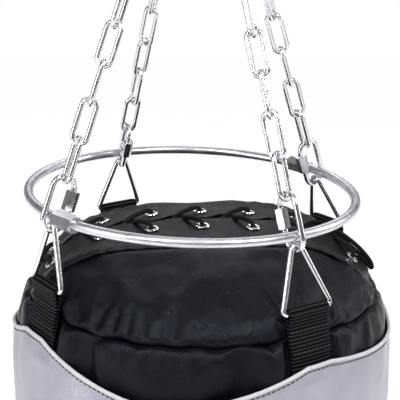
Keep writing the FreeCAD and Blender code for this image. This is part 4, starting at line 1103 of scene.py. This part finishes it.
def studio_world():
    """White behind the bag; in reflections, brighter behind than in front and softer from above."""
    front_to_back = ((0.10, 0.22), (0.42, 0.16), (0.62, 0.45), (0.90, 0.50))
    low_to_high = ((0.35, 0.85), (0.50, 0.60), (0.62, 0.42), (0.95, 0.55))
    world = bpy.data.worlds.new("studio")
    world.use_nodes = True
    world.node_tree.nodes.clear()
    w = Nodes(world.node_tree)
    _, y, z = w.node("SeparateXYZ", [(0, w.node("TexCoord").outputs["Generated"])]).outputs
    greys = []
    for direction, stops in ((y, front_to_back), (z, low_to_high)):
        share = w.node("MapRange", [("From Min", -1), ("Value", direction)]).outputs[0]
        greys.append(w.ramp(share, *stops))
    product = w.node("MixRGB", [("Fac", 1), ("Color1", greys[0]), ("Color2", greys[1])],
                     blend_type="MULTIPLY")
    soft = w.node("Background", [("Color", product.outputs["Color"])])
    bright = w.node("Background", [("Color", (1, 1, 1, 1))])
    seen = w.node("LightPath").outputs["Is Camera Ray"]
    mix = w.node("MixShader", [(0, seen), (1, soft.outputs[0]), (2, bright.outputs[0])])
    w.node("OutputWorld", [("Surface", mix.outputs[0])])
    bpy.context.scene.world = world


def studio():
    """Pale floor under the hanging bag, bright surroundings and soft boxes."""
    studio_world()
    level = LEVEL - BOTTOM_DROP - 0.30
    reach = 9
    corners = [(x * reach, y * reach, level) for x, y in ((-1, -1), (1, -1), (1, 1), (-1, 1))]
    floor = finish_mesh("floor", corners, [(0, 1, 2, 3)])
    paint = Material("floor_paint")
    paint.set(Roughness=0.6, Emission_Strength=0.82, Emission_Color=(1, 1, 1, 1))
    paint.link(paint.ramp(paint.noise(2), (0.3, 0.93), (0.7, 0.95)), "Base Color")
    wear(floor, paint.data)
    area_light("key_left", (-1.55, -0.95, 0.10), (0.5, 1.2), 14)
    area_light("fill_right", (1.65, 0.25, 0.20), (0.6, 1.2), 11)
    area_light("back_rim", (0.2, 1.8, 0.7), (2.0, 0.7), 8)
    area_light("overhead", (0.1, -0.2, 1.1), (0.9, 0.9), 3)
    area_light("front_left_box", (-0.6, -1.25, 0.75), (0.24, 0.42), 15)
    area_light("front_right_box", (0.8, -1.0, 0.70), (0.22, 0.42), 16)


def camera():
    """The photograph's viewpoint: in front, a little left and about 0.25 m above the hoop."""
    data = bpy.data.cameras.new("camera")
    data.sensor_width = 36
    data.lens = 92.04
    data.shift_y = -0.02
    data.clip_end = 60
    eye = bpy.data.objects.new("camera", data)
    eye.location = (-0.0442, -0.8443, LEVEL + 0.2476)
    eye.rotation_euler = Vector((0.049, 0.958, -0.283)).to_track_quat("-Z", "Y").to_euler()
    bpy.context.scene.collection.objects.link(eye)
    bpy.context.scene.camera = eye


def main():
    """Build every piece, then the studio and the camera."""
    bpy.context.scene.view_settings.view_transform = "Standard"
    camera()
    panel("top_panel_front_skin", True, "top_panel_front")
    panel("top_panel_rear_skin", False, "top_panel_rear")
    shoulder()
    flap("flap_front", True, "lacing_flap_front")
    flap("flap_rear", False, "lacing_flap_rear")
    silver("silver_left", math.pi / 2 + 0.002, 1.5 * math.pi - 0.002, "silver_panel_left")
    silver("silver_right", -math.pi / 2 + 0.002, math.pi / 2 - 0.002, "silver_panel_right")
    silver_trim()
    lower_cover()
    bottom()
    filling_core()
    for corner in CORNERS:
        strap(corner)
    lace()
    lace_tail()
    dress_hardware()
    studio()


main()
